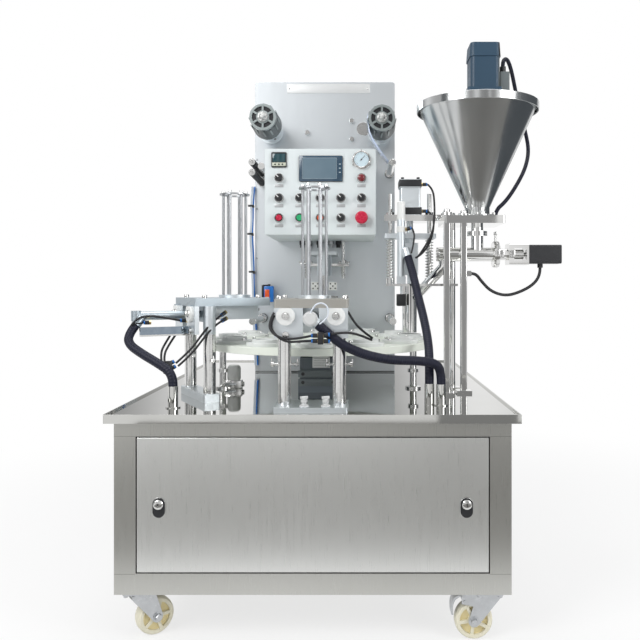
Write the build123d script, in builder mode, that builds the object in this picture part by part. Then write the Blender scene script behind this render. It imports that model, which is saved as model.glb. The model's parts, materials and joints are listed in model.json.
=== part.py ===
from build123d import *
from math import cos, radians, sin, tan
import os

os.makedirs("parts", exist_ok=True)

# Rotary machine that fills coffee capsules: a wheeled cabinet with a polished work tray, an indexed
# turntable of capsule dies, two dispensing stations, an auger filler with a tamper, and a sealing
# station that hangs from a back board with the control box and the film reels.
# Millimetres, +Z up, +Y from the front to the back, +X to the right.
# The origin is on the floor, midway between the outermost sides of the rigid machine.

# Fits and clearances
shaft_play = 0.05       # radial play of a shaft that turns or slides in its bore
body_gap = 0.5          # least distance between two bodies that pass each other
panel_gap = 3.0         # gap all round the front door
hole_gap = 0.2          # radial gap of a fixed piece in its cut-out
sheet = 2.5             # folded stainless sheet

# Auger filler, measured from the middle of the tray
hopper_from_tray = 468.0
auger_flange_from_hopper = 47.0
clamp_len = 16.0
bearing_len = 21.0
neck_len = 14.0
lantern_len = 51.0
servo_len = 98.0
servo_reach = (
    hopper_from_tray + auger_flange_from_hopper + clamp_len + bearing_len
    + neck_len + lantern_len + servo_len
)

# Work tray
tray_w = 1010.0
tray_d = 1277.0
tray_x = (tray_w / 2 - servo_reach) / 2
tray_front = -tray_d / 2
deck_z = 563.0
deck_t = 8.0
tray_edge_t = 3.0
tray_lip = 5.0
tray_drop = 17.0

# Cabinet
cab_w = 970.0
cab_inset = 20.0
cab_base = 125.0
cab_top = deck_z - deck_t
cab_front = tray_front + cab_inset
cab_back = tray_front + tray_d - cab_inset
border_side = 53.0
border_bottom = 52.0
border_top = 44.0
border_depth = 40.0

# Front door and its locks
door_fold = 18.0
lock_from_middle = 375.0
lock_base_w = 30.0
lock_base_h = 48.0
lock_base_t = 4.0
lock_r = 12.0
lock_neck_r = 8.0
tongue_len = 34.0
tongue_w = 14.0
tongue_t = 4.0
door_handle_rise = -6.0

# Castors
wheel_r = 47.5
wheel_w = 32.0
castor_trail = 36.0
castor_from_middle = 434.0
castor_plate_w = 66.0
castor_plate_d = 92.0
castor_plate_t = 4.0
castor_race_r = 27.0
castor_race_t = 6.0
kingpin_r = 6.0
axle_r = 6.0
fork_t = 3.0
fork_gap = 3.0
left_castor_heading = 38.0
right_castor_heading = 180.0
rear_castor_heading = 90.0

# Back board and control box
board_from_tray = -12.0
board_w = 511.0
board_from_front = 900.0
board_d = 120.0
board_top = 1625.0
box_from_tray = -9.5
box_w = 351.0
box_from_front = 537.0
box_bottom = 1040.0
box_h = 271.0
box_sheet = 2.0
switch_pitch_x = 65.0
switch_pitch_z = 63.0
switch_first_z = 53.0

# Push buttons and selectors
bezel_r = 14.75
bezel_t = 5.0
nose_r = 11.0
nose_len = 25.0
stem_r = 6.0
stem_len = 22.0
knob_r = 11.5
knob_t = 12.0
collar_r = 12.5
collar_t = 7.0
cap_r = 9.5
button_travel = 4.0
mushroom_r = 20.0
stop_travel = 5.0

# Turntable and dies
turn_from_tray = -8.0
turn_from_front = 497.0
turn_r = 340.0
turn_top = 713.0
turn_t = 20.0
die_count = 12
die_pitch_r = 278.0
die_flange_r = 52.0
die_flange_t = 9.0
die_ring_r = 36.0
die_ring_t = 9.0
die_spigot_r = 40.0
pocket_r = 23.0
pocket_rim_r = 26.0
pocket_rim_depth = 4.0
hub_r = 60.0
hub_t = 18.0
table_shaft_r = 20.0
rim_inner_r = 215.0
rim_gap = 0.2

# Dispensing stations
station_radius = 382.0
column_r = 17.0
station_top_z = 823.0
station_plate_t = 22.0
station_plate_half = 93.0
station_outer_u = 425.0
station_inner_u = 205.0
front_plate_t = 12.0
front_plate_z = 747.0
front_recess_half = 20.0
lid_station_heading = -150.0
capsule_station_heading = -90.0
rod_circle_r = 32.0
rod_r = 4.0
magazine_ring_r = 45.0
magazine_h = 300.0
slide_stroke = 20.0

# Filling tower
tower_plate_z = 1060.0
tower_plate_t = 23.0
tamper_top_z = 1076.0
tamper_top_t = 19.0
tamper_low_z = 878.0
tamper_low_t = 7.0
guide_pitch = 121.0
guide_r = 6.5
guide_top = 1163.0
drop_tube_r = 22.5
drop_tube_wall = 2.5
auger_z = 973.0
auger_from_front = 430.0
auger_r = 21.0
auger_wall = 2.5

# Hopper
cone_top_r = 178.0
cone_top_z = 1418.0
cone_bottom_r = 37.0
cone_bottom_z = 1112.0
hopper_wall = 2.0
lid_rim = 3.0           # from the cone's mouth to the edge of the lid
lid_r = cone_top_r + lid_rim
lid_t = 3.0
lid_band = 20.0

# Places that several pieces share
turn_x = tray_x + turn_from_tray
turn_y = tray_front + turn_from_front
board_x = tray_x + board_from_tray
board_y = tray_front + board_from_front
box_x = tray_x + box_from_tray
box_y = tray_front + box_from_front
hopper_x = tray_x + hopper_from_tray
auger_y = tray_front + auger_from_front
castor_front_y = cab_front + castor_plate_d / 2 + 2
castor_back_y = cab_back - castor_plate_d / 2 - 2
fill_x = turn_x + die_pitch_r
seal_y = turn_y + die_pitch_r
die_top = turn_top + die_flange_t + die_ring_t


def save(piece, name):
    """Label a finished piece and write it to its own file."""
    piece.part.label = name
    export_step(piece.part, f"parts/{name}.step")


def level(x, y, z, heading=0.0):
    """A level plane whose local X points along a heading, in degrees from +X."""
    turn = radians(heading)
    return Plane(origin=(x, y, z), x_dir=(cos(turn), sin(turn), 0), z_dir=(0, 0, 1))


def upright(x, y, z, heading=0.0):
    """An upright plane whose local X points along a heading and whose local Y is up."""
    turn = radians(heading)
    return Plane(origin=(x, y, z), x_dir=(cos(turn), sin(turn), 0), z_dir=(sin(turn), -cos(turn), 0))


# Cabinet: a folded and welded stainless box with a deep front border, castor plates below
opening_w = cab_w - 2 * border_side
opening_z = cab_base + border_bottom
opening_top = cab_top - border_top
opening_h = opening_top - opening_z
race_bottom = cab_base - castor_plate_t - castor_race_t

with BuildPart() as cabinet_frame:
    with BuildSketch(Plane.XY.offset(cab_base)):
        with Locations((tray_x, (cab_front + cab_back) / 2)):
            Rectangle(cab_w, cab_back - cab_front)
    extrude(amount=cab_top - cab_base)
    with BuildSketch(Plane.XY.offset(cab_base + sheet)):
        with Locations((tray_x, (cab_front + border_depth + cab_back - sheet) / 2)):
            Rectangle(cab_w - 2 * sheet, cab_back - sheet - cab_front - border_depth)
    extrude(amount=cab_top - cab_base, mode=Mode.SUBTRACT)
    with BuildSketch(upright(tray_x, cab_front, opening_z)):
        Rectangle(opening_w, opening_h, align=(Align.CENTER, Align.MIN))
    extrude(amount=-border_depth, mode=Mode.SUBTRACT)
    # Castor plates with their swivel races
    with BuildSketch(Plane.XY.offset(cab_base)):
        for castor_y in (castor_front_y, castor_back_y):
            for side in (-1, 1):
                with Locations((tray_x + side * castor_from_middle, castor_y)):
                    RectangleRounded(castor_plate_w, castor_plate_d, 8)
    extrude(amount=-castor_plate_t)
    with BuildSketch(Plane.XY.offset(cab_base - castor_plate_t)):
        for side in (-1, 1):
            with Locations((tray_x + side * castor_from_middle, castor_front_y)):
                Circle(castor_race_r)
    extrude(amount=-castor_race_t, taper=12)
    with BuildSketch(Plane.XY.offset(race_bottom)):
        for side in (-1, 1):
            with Locations((tray_x + side * castor_from_middle, castor_front_y)):
                Circle(kingpin_r + shaft_play)
    extrude(amount=cab_base - race_bottom, mode=Mode.SUBTRACT)
    # Rigid forks of the rear castors, with their axle bolts
    for side in (-1, 1):
        wheel_plane = upright(tray_x + side * castor_from_middle, castor_back_y, 0, rear_castor_heading)
        for cheek in (-1, 1):
            cheek_at = cheek * (wheel_w / 2 + fork_gap + fork_t / 2)
            with BuildSketch(wheel_plane.offset(cheek_at)):
                with Locations((0, wheel_r)):
                    Circle(14)
                with Locations((0, cab_base - castor_plate_t)):
                    Rectangle(56, 6, align=(Align.CENTER, Align.MAX))
                make_hull()
            extrude(amount=fork_t / 2, both=True)
        with BuildSketch(wheel_plane):
            with Locations((0, wheel_r)):
                Circle(axle_r)
        extrude(amount=wheel_w / 2 + fork_gap + fork_t + 5, both=True)
save(cabinet_frame, "cabinet_frame")


# Front door: a folded panel that fills the opening flush, with holes for the two locks
door_w = opening_w - 2 * panel_gap
door_h = opening_h - 2 * panel_gap
door_z = opening_z + panel_gap
lock_z = door_z + door_h / 2 + door_handle_rise
lock_rise = (lock_base_h - lock_base_w) / 2

with BuildPart() as front_door:
    with BuildSketch(upright(tray_x, cab_front, door_z)):
        Rectangle(door_w, door_h, align=(Align.CENTER, Align.MIN))
    extrude(amount=-door_fold)
    with BuildSketch(upright(tray_x, cab_front + sheet, door_z + sheet)):
        Rectangle(door_w - 2 * sheet, door_h - 2 * sheet, align=(Align.CENTER, Align.MIN))
    extrude(amount=-door_fold, mode=Mode.SUBTRACT)
    # Oval lock housings
    with BuildSketch(upright(tray_x, cab_front, lock_z)):
        with Locations((-lock_from_middle, 0), (lock_from_middle, 0)):
            SlotOverall(lock_base_h, lock_base_w, rotation=90)
    extrude(amount=lock_base_t)
    with BuildSketch(upright(tray_x, cab_front - lock_base_t, lock_z + lock_rise)):
        with Locations((-lock_from_middle, 0), (lock_from_middle, 0)):
            Circle(lock_neck_r + shaft_play)
    extrude(amount=-(lock_base_t + sheet), mode=Mode.SUBTRACT)
save(front_door, "front_door")


def make_door_lock(side, name):
    """Quarter-turn lock: a round head, a neck through the door and a tongue behind it."""
    with BuildPart() as lock:
        lock_x = tray_x + side * lock_from_middle
        with BuildSketch(upright(lock_x, cab_front + sheet + 6, lock_z + lock_rise)):
            Circle(lock_neck_r)
        extrude(amount=lock_base_t + sheet + 6 + body_gap)
        with BuildSketch(
            upright(tray_x + side * lock_from_middle, cab_front - lock_base_t - body_gap, lock_z + lock_rise)
        ):
            Circle(lock_r)
        extrude(amount=5)
        chamfer(lock.faces().sort_by(Axis.Y)[0].edges(), 1)
        with BuildSketch(upright(lock_x, cab_front + sheet + 2, lock_z + lock_rise)):
            with Locations((0, -tongue_len / 2 + tongue_w / 2)):
                SlotOverall(tongue_len, tongue_w, rotation=90)
        extrude(amount=-tongue_t)
    save(lock, name)


make_door_lock(-1, "door_lock_left")
make_door_lock(1, "door_lock_right")


# Work tray: a deck sheet with a folded edge all round, and the stub pipes that the hoses rise from
hose_r = 12.0
pipe_r = 13.0
pipe_top = 619.0
pipe_foot_r = 19.0
pipe_places = [
    (tray_x - 369, tray_front + 130),
    (tray_x + 300, tray_front + 180),
    (tray_x + 330, tray_front + 170),
]

with BuildPart() as work_tray:
    with BuildSketch(Plane.XY.offset(cab_top)):
        with Locations((tray_x, 0)):
            Rectangle(tray_w, tray_d)
    extrude(amount=deck_t)
    with BuildSketch(Plane.XY.offset(deck_z - tray_drop)):
        with Locations((tray_x, 0)):
            Rectangle(tray_w, tray_d)
            Rectangle(tray_w - 2 * tray_edge_t, tray_d - 2 * tray_edge_t, mode=Mode.SUBTRACT)
    extrude(amount=tray_drop + tray_lip)
    fillet(work_tray.edges().filter_by(Axis.Z).group_by(Axis.X)[0], 2)
    with BuildSketch(Plane.XY.offset(deck_z)):
        with Locations(*pipe_places):
            Circle(pipe_r)
    extrude(amount=pipe_top - deck_z)
    with BuildSketch(Plane.XY.offset(deck_z)):
        with Locations(pipe_places[0], pipe_places[2]):
            Circle(pipe_foot_r)
    extrude(amount=3)
    with BuildSketch(Plane.XY.offset(deck_z)):
        with Locations(*pipe_places):
            Circle(hose_r - 2)
    extrude(amount=pipe_top - deck_z, mode=Mode.SUBTRACT)
save(work_tray, "work_tray")


# Swivel castors in front, rigid ones behind
fork_top = race_bottom - body_gap
cheek_place = wheel_w / 2 + fork_gap + fork_t / 2
pedal_pin_u = 60.0
pedal_pin_z = 98.0
pedal_pin_r = 3.0


def make_castor_fork(side, heading, name, braked):
    """Pressed fork with its kingpin and axle bolt; a braked one has ears for the pedal's pin."""
    x = tray_x + side * castor_from_middle
    with BuildPart() as fork:
        with BuildSketch(level(x, castor_front_y, fork_top, heading)):
            Rectangle(58, 2 * cheek_place + fork_t)
        extrude(amount=-fork_t)
        with BuildSketch(Plane.XY.offset(fork_top)):
            with Locations((x, castor_front_y)):
                Circle(kingpin_r)
        extrude(amount=cab_base - fork_top - 1)
        wheel_plane = upright(x, castor_front_y, 0, heading)
        for cheek in (-1, 1):
            with BuildSketch(wheel_plane.offset(cheek * cheek_place)):
                with Locations((castor_trail, wheel_r)):
                    Circle(14)
                with Locations((0, fork_top)):
                    Rectangle(58, 8, align=(Align.CENTER, Align.MAX))
                make_hull()
                if braked:
                    with BuildLine():
                        Polyline(
                            (20, fork_top), (pedal_pin_u + 7, fork_top), (pedal_pin_u + 7, pedal_pin_z - 7),
                            (30, pedal_pin_z - 14), (20, fork_top), close=True,
                        )
                    make_face()
                    with Locations((pedal_pin_u, pedal_pin_z)):
                        Circle(pedal_pin_r + shaft_play, mode=Mode.SUBTRACT)
            extrude(amount=fork_t / 2, both=True)
        with BuildSketch(wheel_plane):
            with Locations((castor_trail, wheel_r)):
                Circle(axle_r)
        extrude(amount=cheek_place + fork_t / 2 + 5, both=True)
    save(fork, name)


make_castor_fork(-1, left_castor_heading, "castor_fork_left", False)
make_castor_fork(1, right_castor_heading, "castor_fork_right", True)


def make_castor_wheel(side, y, heading, trail, name):
    """Nylon wheel with five pockets on each face and a proud hub."""
    plane = upright(tray_x + side * castor_from_middle, y, 0, heading)
    with BuildPart() as wheel:
        with BuildSketch(plane):
            with Locations((trail, wheel_r)):
                Circle(wheel_r)
        extrude(amount=wheel_w / 2, both=True)
        chamfer(wheel.edges().filter_by(GeomType.CIRCLE), 3)
        for face_side in (-1, 1):
            with BuildSketch(plane.offset(face_side * wheel_w / 2)):
                with Locations((trail, wheel_r)):
                    with PolarLocations(0, 5, start_angle=18):
                        with BuildLine():
                            Polyline((18, -7), (36, -13), (36, 13), (18, 7), close=True)
                        make_face()
            extrude(amount=-face_side * 8, mode=Mode.SUBTRACT)
        with BuildSketch(plane):
            with Locations((trail, wheel_r)):
                Circle(14)
        extrude(amount=wheel_w / 2 + 2, both=True)
        with BuildSketch(plane):
            with Locations((trail, wheel_r)):
                Circle(axle_r + shaft_play)
        extrude(amount=wheel_w, both=True, mode=Mode.SUBTRACT)
    save(wheel, name)


make_castor_wheel(-1, castor_front_y, left_castor_heading, castor_trail, "castor_wheel_front_left")
make_castor_wheel(1, castor_front_y, right_castor_heading, castor_trail, "castor_wheel_front_right")
make_castor_wheel(-1, castor_back_y, rear_castor_heading, 0, "castor_wheel_rear_left")
make_castor_wheel(1, castor_back_y, rear_castor_heading, 0, "castor_wheel_rear_right")


# Brake pedal of the right-hand castor: a bent lever on a pin between the fork's ears
pedal_half = wheel_w / 2 + fork_gap - body_gap

with BuildPart() as brake_pedal:
    pedal_plane = upright(tray_x + castor_from_middle, castor_front_y, 0, right_castor_heading)
    with BuildSketch(pedal_plane):
        with BuildLine():
            Spline(
                (pedal_pin_u - 6, pedal_pin_z + 9),
                (pedal_pin_u + 15, pedal_pin_z + 6),
                (pedal_pin_u + 27, 62),
            )
            Polyline((pedal_pin_u + 27, 62), (pedal_pin_u + 32, 62))
            Spline(
                (pedal_pin_u + 32, 62),
                (pedal_pin_u + 20, pedal_pin_z + 10),
                (pedal_pin_u - 6, pedal_pin_z + 12),
            )
            Polyline((pedal_pin_u - 6, pedal_pin_z + 12), (pedal_pin_u - 6, pedal_pin_z + 9))
        make_face()
        with Locations((pedal_pin_u, pedal_pin_z)):
            Circle(6)
        with Locations((pedal_pin_u, pedal_pin_z + 7)):
            Rectangle(8, 8)
    extrude(amount=pedal_half - 2, both=True)
    with BuildSketch(pedal_plane):
        with Locations((pedal_pin_u, pedal_pin_z)):
            Circle(pedal_pin_r)
    extrude(amount=cheek_place + fork_t / 2 + 2, both=True)
save(brake_pedal, "brake_pedal")


# Back board: a hollow folded column of sheet, open at its foot, with the arm of the sealing station
seal_arm_z = 985.0
seal_arm_t = 12.0
seal_arm_half = 45.0
seal_rod_r = 8.0

with BuildPart() as back_board:
    with BuildSketch(Plane.XY.offset(deck_z)):
        with Locations((board_x, board_y + board_d / 2)):
            Rectangle(board_w, board_d)
    extrude(amount=board_top - deck_z)
    fillet(back_board.edges().filter_by(Axis.Y).group_by(Axis.Z)[-1], 10)
    with BuildSketch(Plane.XY.offset(deck_z)):
        with Locations((board_x, board_y + board_d / 2)):
            Rectangle(board_w - 2 * sheet, board_d - 2 * sheet)
    extrude(amount=board_top - deck_z - 4 * sheet, mode=Mode.SUBTRACT)
    with BuildSketch(Plane.XY.offset(seal_arm_z)):
        with Locations((turn_x, board_y)):
            Rectangle(2 * seal_arm_half, board_y - seal_y + seal_arm_half, align=(Align.CENTER, Align.MAX))
        with Locations((turn_x, seal_y)):
            Circle(seal_rod_r + hole_gap, mode=Mode.SUBTRACT)
    extrude(amount=seal_arm_t)
    with BuildSketch(upright(turn_x, board_y, seal_arm_z, -90)):
        with BuildLine():
            Polyline((0, 0), (70, 0), (0, -60), close=True)
        make_face()
    extrude(amount=4, both=True)
save(back_board, "back_board")


# Control box: a sheet housing on the board, its face cut for the instruments and switches
screen_w, screen_h, screen_t = 138.0, 82.0, 5.0
screen_body_w, screen_body_h, screen_depth = 129.0, 73.0, 35.0
thermo_w, thermo_t = 48.0, 5.0
thermo_body_w, thermo_depth = 44.5, 60.0
gauge_r, gauge_t = 28.0, 9.0
gauge_body_r, gauge_depth = 24.5, 25.0
screen_at = (box_x + 2, box_bottom + 208)
thermo_at = (box_x - 2 * switch_pitch_x, box_bottom + 236)
gauge_at = (box_x + 2 * switch_pitch_x, box_bottom + 236)


def switch_place(column, row):
    """Centre of a switch on the box's face; columns run -2 to 2 and rows 0 to 2 from the bottom."""
    return (box_x + column * switch_pitch_x, box_bottom + switch_first_z + row * switch_pitch_z)


selector_places = {
    "selector_top_left": switch_place(-2, 2),
    "selector_middle_1": switch_place(-2, 1),
    "selector_middle_2": switch_place(-1, 1),
    "selector_middle_3": switch_place(0, 1),
    "selector_middle_4": switch_place(1, 1),
    "selector_middle_5": switch_place(2, 1),
    "selector_bottom": switch_place(1, 0),
}
button_places = {
    "red_button": switch_place(-2, 0),
    "green_button": switch_place(-1, 0),
    "orange_button": switch_place(0, 0),
}
stop_place = switch_place(2, 0)
lamp_place = switch_place(2, 2)
switch_places = list(selector_places.values()) + list(button_places.values()) + [stop_place, lamp_place]
box_face = Plane.XZ.offset(-box_y)

with BuildPart() as control_box:
    with BuildSketch(box_face):
        with Locations((box_x, box_bottom + box_h / 2)):
            RectangleRounded(box_w, box_h, 4)
    extrude(amount=-(board_y - box_y))
    with BuildSketch(Plane.XZ.offset(-(box_y + box_sheet))):
        with Locations((box_x, box_bottom + box_h / 2)):
            Rectangle(box_w - 2 * box_sheet, box_h - 2 * box_sheet)
    extrude(amount=-(board_y - box_y), mode=Mode.SUBTRACT)
    with BuildSketch(box_face):
        with Locations(*switch_places):
            Circle(nose_r + hole_gap)
        with Locations(screen_at):
            Rectangle(screen_body_w + 2 * hole_gap, screen_body_h + 2 * hole_gap)
        with Locations(thermo_at):
            Rectangle(thermo_body_w + 2 * hole_gap, thermo_body_w + 2 * hole_gap)
        with Locations(gauge_at):
            Circle(gauge_body_r + hole_gap)
    extrude(amount=-box_sheet, mode=Mode.SUBTRACT)
save(control_box, "control_box")

with BuildPart() as touch_screen:
    with BuildSketch(box_face):
        with Locations(screen_at):
            RectangleRounded(screen_w, screen_h, 4)
    extrude(amount=screen_t)
    with BuildSketch(Plane.XZ.offset(-box_y + screen_t)):
        with Locations(screen_at):
            Rectangle(screen_w - 26, screen_h - 16)
    extrude(amount=-0.8, mode=Mode.SUBTRACT)
    with BuildSketch(box_face):
        with Locations(screen_at):
            Rectangle(screen_body_w, screen_body_h)
    extrude(amount=-screen_depth)
save(touch_screen, "touch_screen")

with BuildPart() as temperature_controller:
    with BuildSketch(box_face):
        with Locations(thermo_at):
            RectangleRounded(thermo_w, thermo_w, 3)
    extrude(amount=thermo_t)
    with BuildSketch(Plane.XZ.offset(-box_y + thermo_t)):
        with Locations((thermo_at[0], thermo_at[1] + 7)):
            Rectangle(thermo_w - 10, thermo_w - 22)
    extrude(amount=-0.8, mode=Mode.SUBTRACT)
    with BuildSketch(box_face):
        with Locations(thermo_at):
            Rectangle(thermo_body_w, thermo_body_w)
    extrude(amount=-thermo_depth)
save(temperature_controller, "temperature_controller")

with BuildPart() as pressure_gauge:
    with BuildSketch(box_face):
        with Locations(gauge_at):
            Circle(gauge_r)
    extrude(amount=gauge_t)
    with BuildSketch(Plane.XZ.offset(-box_y + gauge_t)):
        with Locations(gauge_at):
            Circle(gauge_r - 4)
    extrude(amount=-4, mode=Mode.SUBTRACT)
    with BuildSketch(box_face):
        with Locations(gauge_at):
            Circle(gauge_body_r)
    extrude(amount=-gauge_depth)
save(pressure_gauge, "pressure_gauge")


# Switch bezels: one nosed collar for each switch, a raised ring round each push button, and the lamp
with BuildPart() as switch_bezels:
    with BuildSketch(box_face):
        with Locations(*switch_places):
            Circle(bezel_r)
    extrude(amount=bezel_t)
    with BuildSketch(box_face):
        with Locations(*switch_places):
            Circle(nose_r)
    extrude(amount=-nose_len)
    with BuildSketch(Plane.XZ.offset(-box_y + bezel_t)):
        with Locations(*button_places.values()):
            Circle(collar_r)
    extrude(amount=collar_t)
    with BuildSketch(Plane.XZ.offset(-box_y + bezel_t)):
        with Locations(*button_places.values()):
            Circle(cap_r + body_gap)
    extrude(amount=collar_t, mode=Mode.SUBTRACT)
    with BuildSketch(Plane.XZ.offset(-box_y + bezel_t)):
        with Locations(*selector_places.values(), *button_places.values(), stop_place):
            Circle(stem_r + shaft_play)
    extrude(amount=-(bezel_t + nose_len), mode=Mode.SUBTRACT)
    with BuildSketch(Plane.XZ.offset(-box_y + bezel_t)):
        with Locations(lamp_place):
            Circle(knob_r)
    extrude(amount=8, taper=10)
save(switch_bezels, "switch_bezels")

for name, place in selector_places.items():
    with BuildPart() as selector:
        with BuildSketch(Plane.XZ.offset(-box_y + bezel_t + body_gap)):
            with Locations(place):
                Circle(knob_r)
        extrude(amount=knob_t, taper=4)
        with BuildSketch(Plane.XZ.offset(-box_y + bezel_t + body_gap + knob_t)):
            with Locations(place):
                Rectangle(2 * knob_r - 4, 6, rotation=-45)
        extrude(amount=5)
        with BuildSketch(Plane.XZ.offset(-box_y + bezel_t + body_gap)):
            with Locations(place):
                Circle(stem_r)
        extrude(amount=-stem_len)
    save(selector, name)

for name, place in button_places.items():
    with BuildPart() as button:
        with BuildSketch(Plane.XZ.offset(-box_y + bezel_t + button_travel + body_gap)):
            with Locations(place):
                Circle(cap_r)
        extrude(amount=collar_t - button_travel)
        with BuildSketch(Plane.XZ.offset(-box_y + bezel_t + button_travel + body_gap)):
            with Locations(place):
                Circle(stem_r)
        extrude(amount=-stem_len)
    save(button, name)

with BuildPart() as emergency_stop:
    with BuildSketch(Plane.XZ.offset(-box_y + bezel_t + stop_travel + 1)):
        with Locations(stop_place):
            Circle(14)
    extrude(amount=4)
    with BuildSketch(Plane.XZ.offset(-box_y + bezel_t + stop_travel + 5)):
        with Locations(stop_place):
            Circle(mushroom_r)
    extrude(amount=10)
    fillet(emergency_stop.edges().group_by(Axis.Y)[0], 6)
    with BuildSketch(Plane.XZ.offset(-box_y + bezel_t + stop_travel + 1)):
        with Locations(stop_place):
            Circle(stem_r)
    extrude(amount=-stem_len)
save(emergency_stop, "emergency_stop")


# Film path: spindles on the board, two spoked reels, and plain rollers
reel_r = 43.5
reel_disc_t = 6.0
reel_hub_r = 15.0
core_r = 34.0
reel_front = tray_front + 636.0
reel_len = 224.0
spindle_r = 10.0
roller_r = 11.5
roller_spindle_r = 5.0
roller_front = tray_front + 626.0
roller_len = 224.0
end_nut_t = 6.0
reel_places = {
    "film_reel_left": (tray_x - 204, 1434.0),
    "film_reel_right": (tray_x + 188, 1431.0),
}
roller_places = {
    "film_drive_roller": (tray_x - 238, 1285.0),
    "film_pinch_roller": (tray_x - 238, 1251.0),
    "film_guide_roller": (tray_x + 222, 1284.0),
}
fixed_bar_places = [(tray_x - 208, 1272.0), (tray_x - 237, 762.0), (tray_x + 224, 762.0)]

with BuildPart() as film_spindles:
    # Reel spindles with a wall flange and an end collar
    with BuildSketch(Plane.XZ.offset(-board_y)):
        with Locations(*reel_places.values()):
            Circle(26)
    extrude(amount=8)
    with BuildSketch(Plane.XZ.offset(-board_y)):
        with Locations(*reel_places.values()):
            Circle(spindle_r)
    extrude(amount=board_y - reel_front + body_gap + end_nut_t)
    with BuildSketch(Plane.XZ.offset(-reel_front + body_gap)):
        with Locations(*reel_places.values()):
            Circle(spindle_r + 4)
    extrude(amount=end_nut_t)
    # Roller spindles with a black collar at the wall
    with BuildSketch(Plane.XZ.offset(-board_y)):
        with Locations(*roller_places.values(), *fixed_bar_places):
            Circle(roller_r + 4)
    extrude(amount=board_y - roller_front - roller_len - body_gap)
    with BuildSketch(Plane.XZ.offset(-board_y)):
        with Locations(*roller_places.values()):
            Circle(roller_spindle_r)
    extrude(amount=board_y - roller_front + body_gap + end_nut_t)
    with BuildSketch(Plane.XZ.offset(-roller_front + body_gap)):
        with Locations(*roller_places.values()):
            Circle(roller_spindle_r + 3)
    extrude(amount=end_nut_t)
    with BuildSketch(Plane.XZ.offset(-board_y)):
        with Locations(*fixed_bar_places):
            Circle(roller_r)
    extrude(amount=board_y - roller_front)
save(film_spindles, "film_spindles")

for name, (x, z) in reel_places.items():
    with BuildPart() as reel:
        for disc_y in (reel_front, reel_front + reel_len - reel_disc_t):
            with BuildSketch(Plane.XZ.offset(-disc_y)):
                with Locations((x, z)):
                    Circle(reel_r)
                    with PolarLocations(0, 6):
                        with Locations((29, 0)):
                            SlotOverall(16, 9, mode=Mode.SUBTRACT)
            extrude(amount=-reel_disc_t)
        with BuildSketch(Plane.XZ.offset(-(reel_front + reel_disc_t))):
            with Locations((x, z)):
                Circle(reel_hub_r)
        extrude(amount=-(reel_len - 2 * reel_disc_t))
        with BuildSketch(Plane.XZ.offset(-(reel_front + 5 * reel_disc_t))):
            with Locations((x, z)):
                Circle(core_r)
        extrude(amount=-(reel_len - 10 * reel_disc_t))
        with BuildSketch(Plane.XZ.offset(-reel_front)):
            with Locations((x, z)):
                Circle(spindle_r + shaft_play)
        extrude(amount=-reel_len, mode=Mode.SUBTRACT)
    save(reel, name)

for name, place in roller_places.items():
    with BuildPart() as roller:
        with BuildSketch(Plane.XZ.offset(-roller_front)):
            with Locations(place):
                Circle(roller_r)
                Circle(roller_spindle_r + shaft_play, mode=Mode.SUBTRACT)
        extrude(amount=-roller_len)
    save(roller, name)


# Turntable with its hub and shaft, the dies in it, and the indexing gearbox under it
gearbox_w = 110.0
gearbox_d = 200.0
gearbox_base_h = 37.0
gearbox_top = 665.0
gearbox_flange_r = 55.0
gearbox_flange_top = turn_top - turn_t - 5

# The rim is twelve plates, one for each die, which are screwed to the disc in the middle.
with BuildPart() as turntable:
    with BuildSketch(Plane.XY.offset(turn_top - turn_t)):
        with Locations((turn_x, turn_y)):
            Circle(turn_r)
            with PolarLocations(die_pitch_r, die_count):
                Circle(die_spigot_r + hole_gap, mode=Mode.SUBTRACT)
            with PolarLocations((rim_inner_r + turn_r) / 2, die_count, start_angle=180 / die_count):
                Rectangle(turn_r - rim_inner_r + 10, rim_gap, mode=Mode.SUBTRACT)
            Circle(rim_inner_r + rim_gap, mode=Mode.SUBTRACT)
            Circle(rim_inner_r)
    extrude(amount=turn_t)
    with BuildSketch(Plane.XY.offset(turn_top)):
        with Locations((turn_x, turn_y)):
            Circle(hub_r)
    extrude(amount=hub_t, taper=15)
    with BuildSketch(Plane.XY.offset(turn_top - turn_t)):
        with Locations((turn_x, turn_y)):
            Circle(table_shaft_r)
    extrude(amount=-(turn_top - turn_t - gearbox_top + 40))
save(turntable, "turntable")

with BuildPart() as capsule_dies:
    with BuildSketch(Plane.XY.offset(turn_top)):
        with Locations((turn_x, turn_y)):
            with PolarLocations(die_pitch_r, die_count):
                Circle(die_flange_r)
    extrude(amount=die_flange_t)
    with BuildSketch(Plane.XY.offset(turn_top + die_flange_t)):
        with Locations((turn_x, turn_y)):
            with PolarLocations(die_pitch_r, die_count):
                Circle(die_ring_r)
    extrude(amount=die_ring_t)
    with BuildSketch(Plane.XY.offset(turn_top)):
        with Locations((turn_x, turn_y)):
            with PolarLocations(die_pitch_r, die_count):
                Circle(die_spigot_r)
    extrude(amount=-turn_t)
    with BuildSketch(Plane.XY.offset(die_top)):
        with Locations((turn_x, turn_y)):
            with PolarLocations(die_pitch_r, die_count):
                Circle(pocket_rim_r)
    extrude(amount=-pocket_rim_depth, mode=Mode.SUBTRACT)
    with BuildSketch(Plane.XY.offset(die_top)):
        with Locations((turn_x, turn_y)):
            with PolarLocations(die_pitch_r, die_count):
                Circle(pocket_r)
    extrude(amount=-(die_top - turn_top + turn_t), mode=Mode.SUBTRACT)
save(capsule_dies, "capsule_dies")

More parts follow.
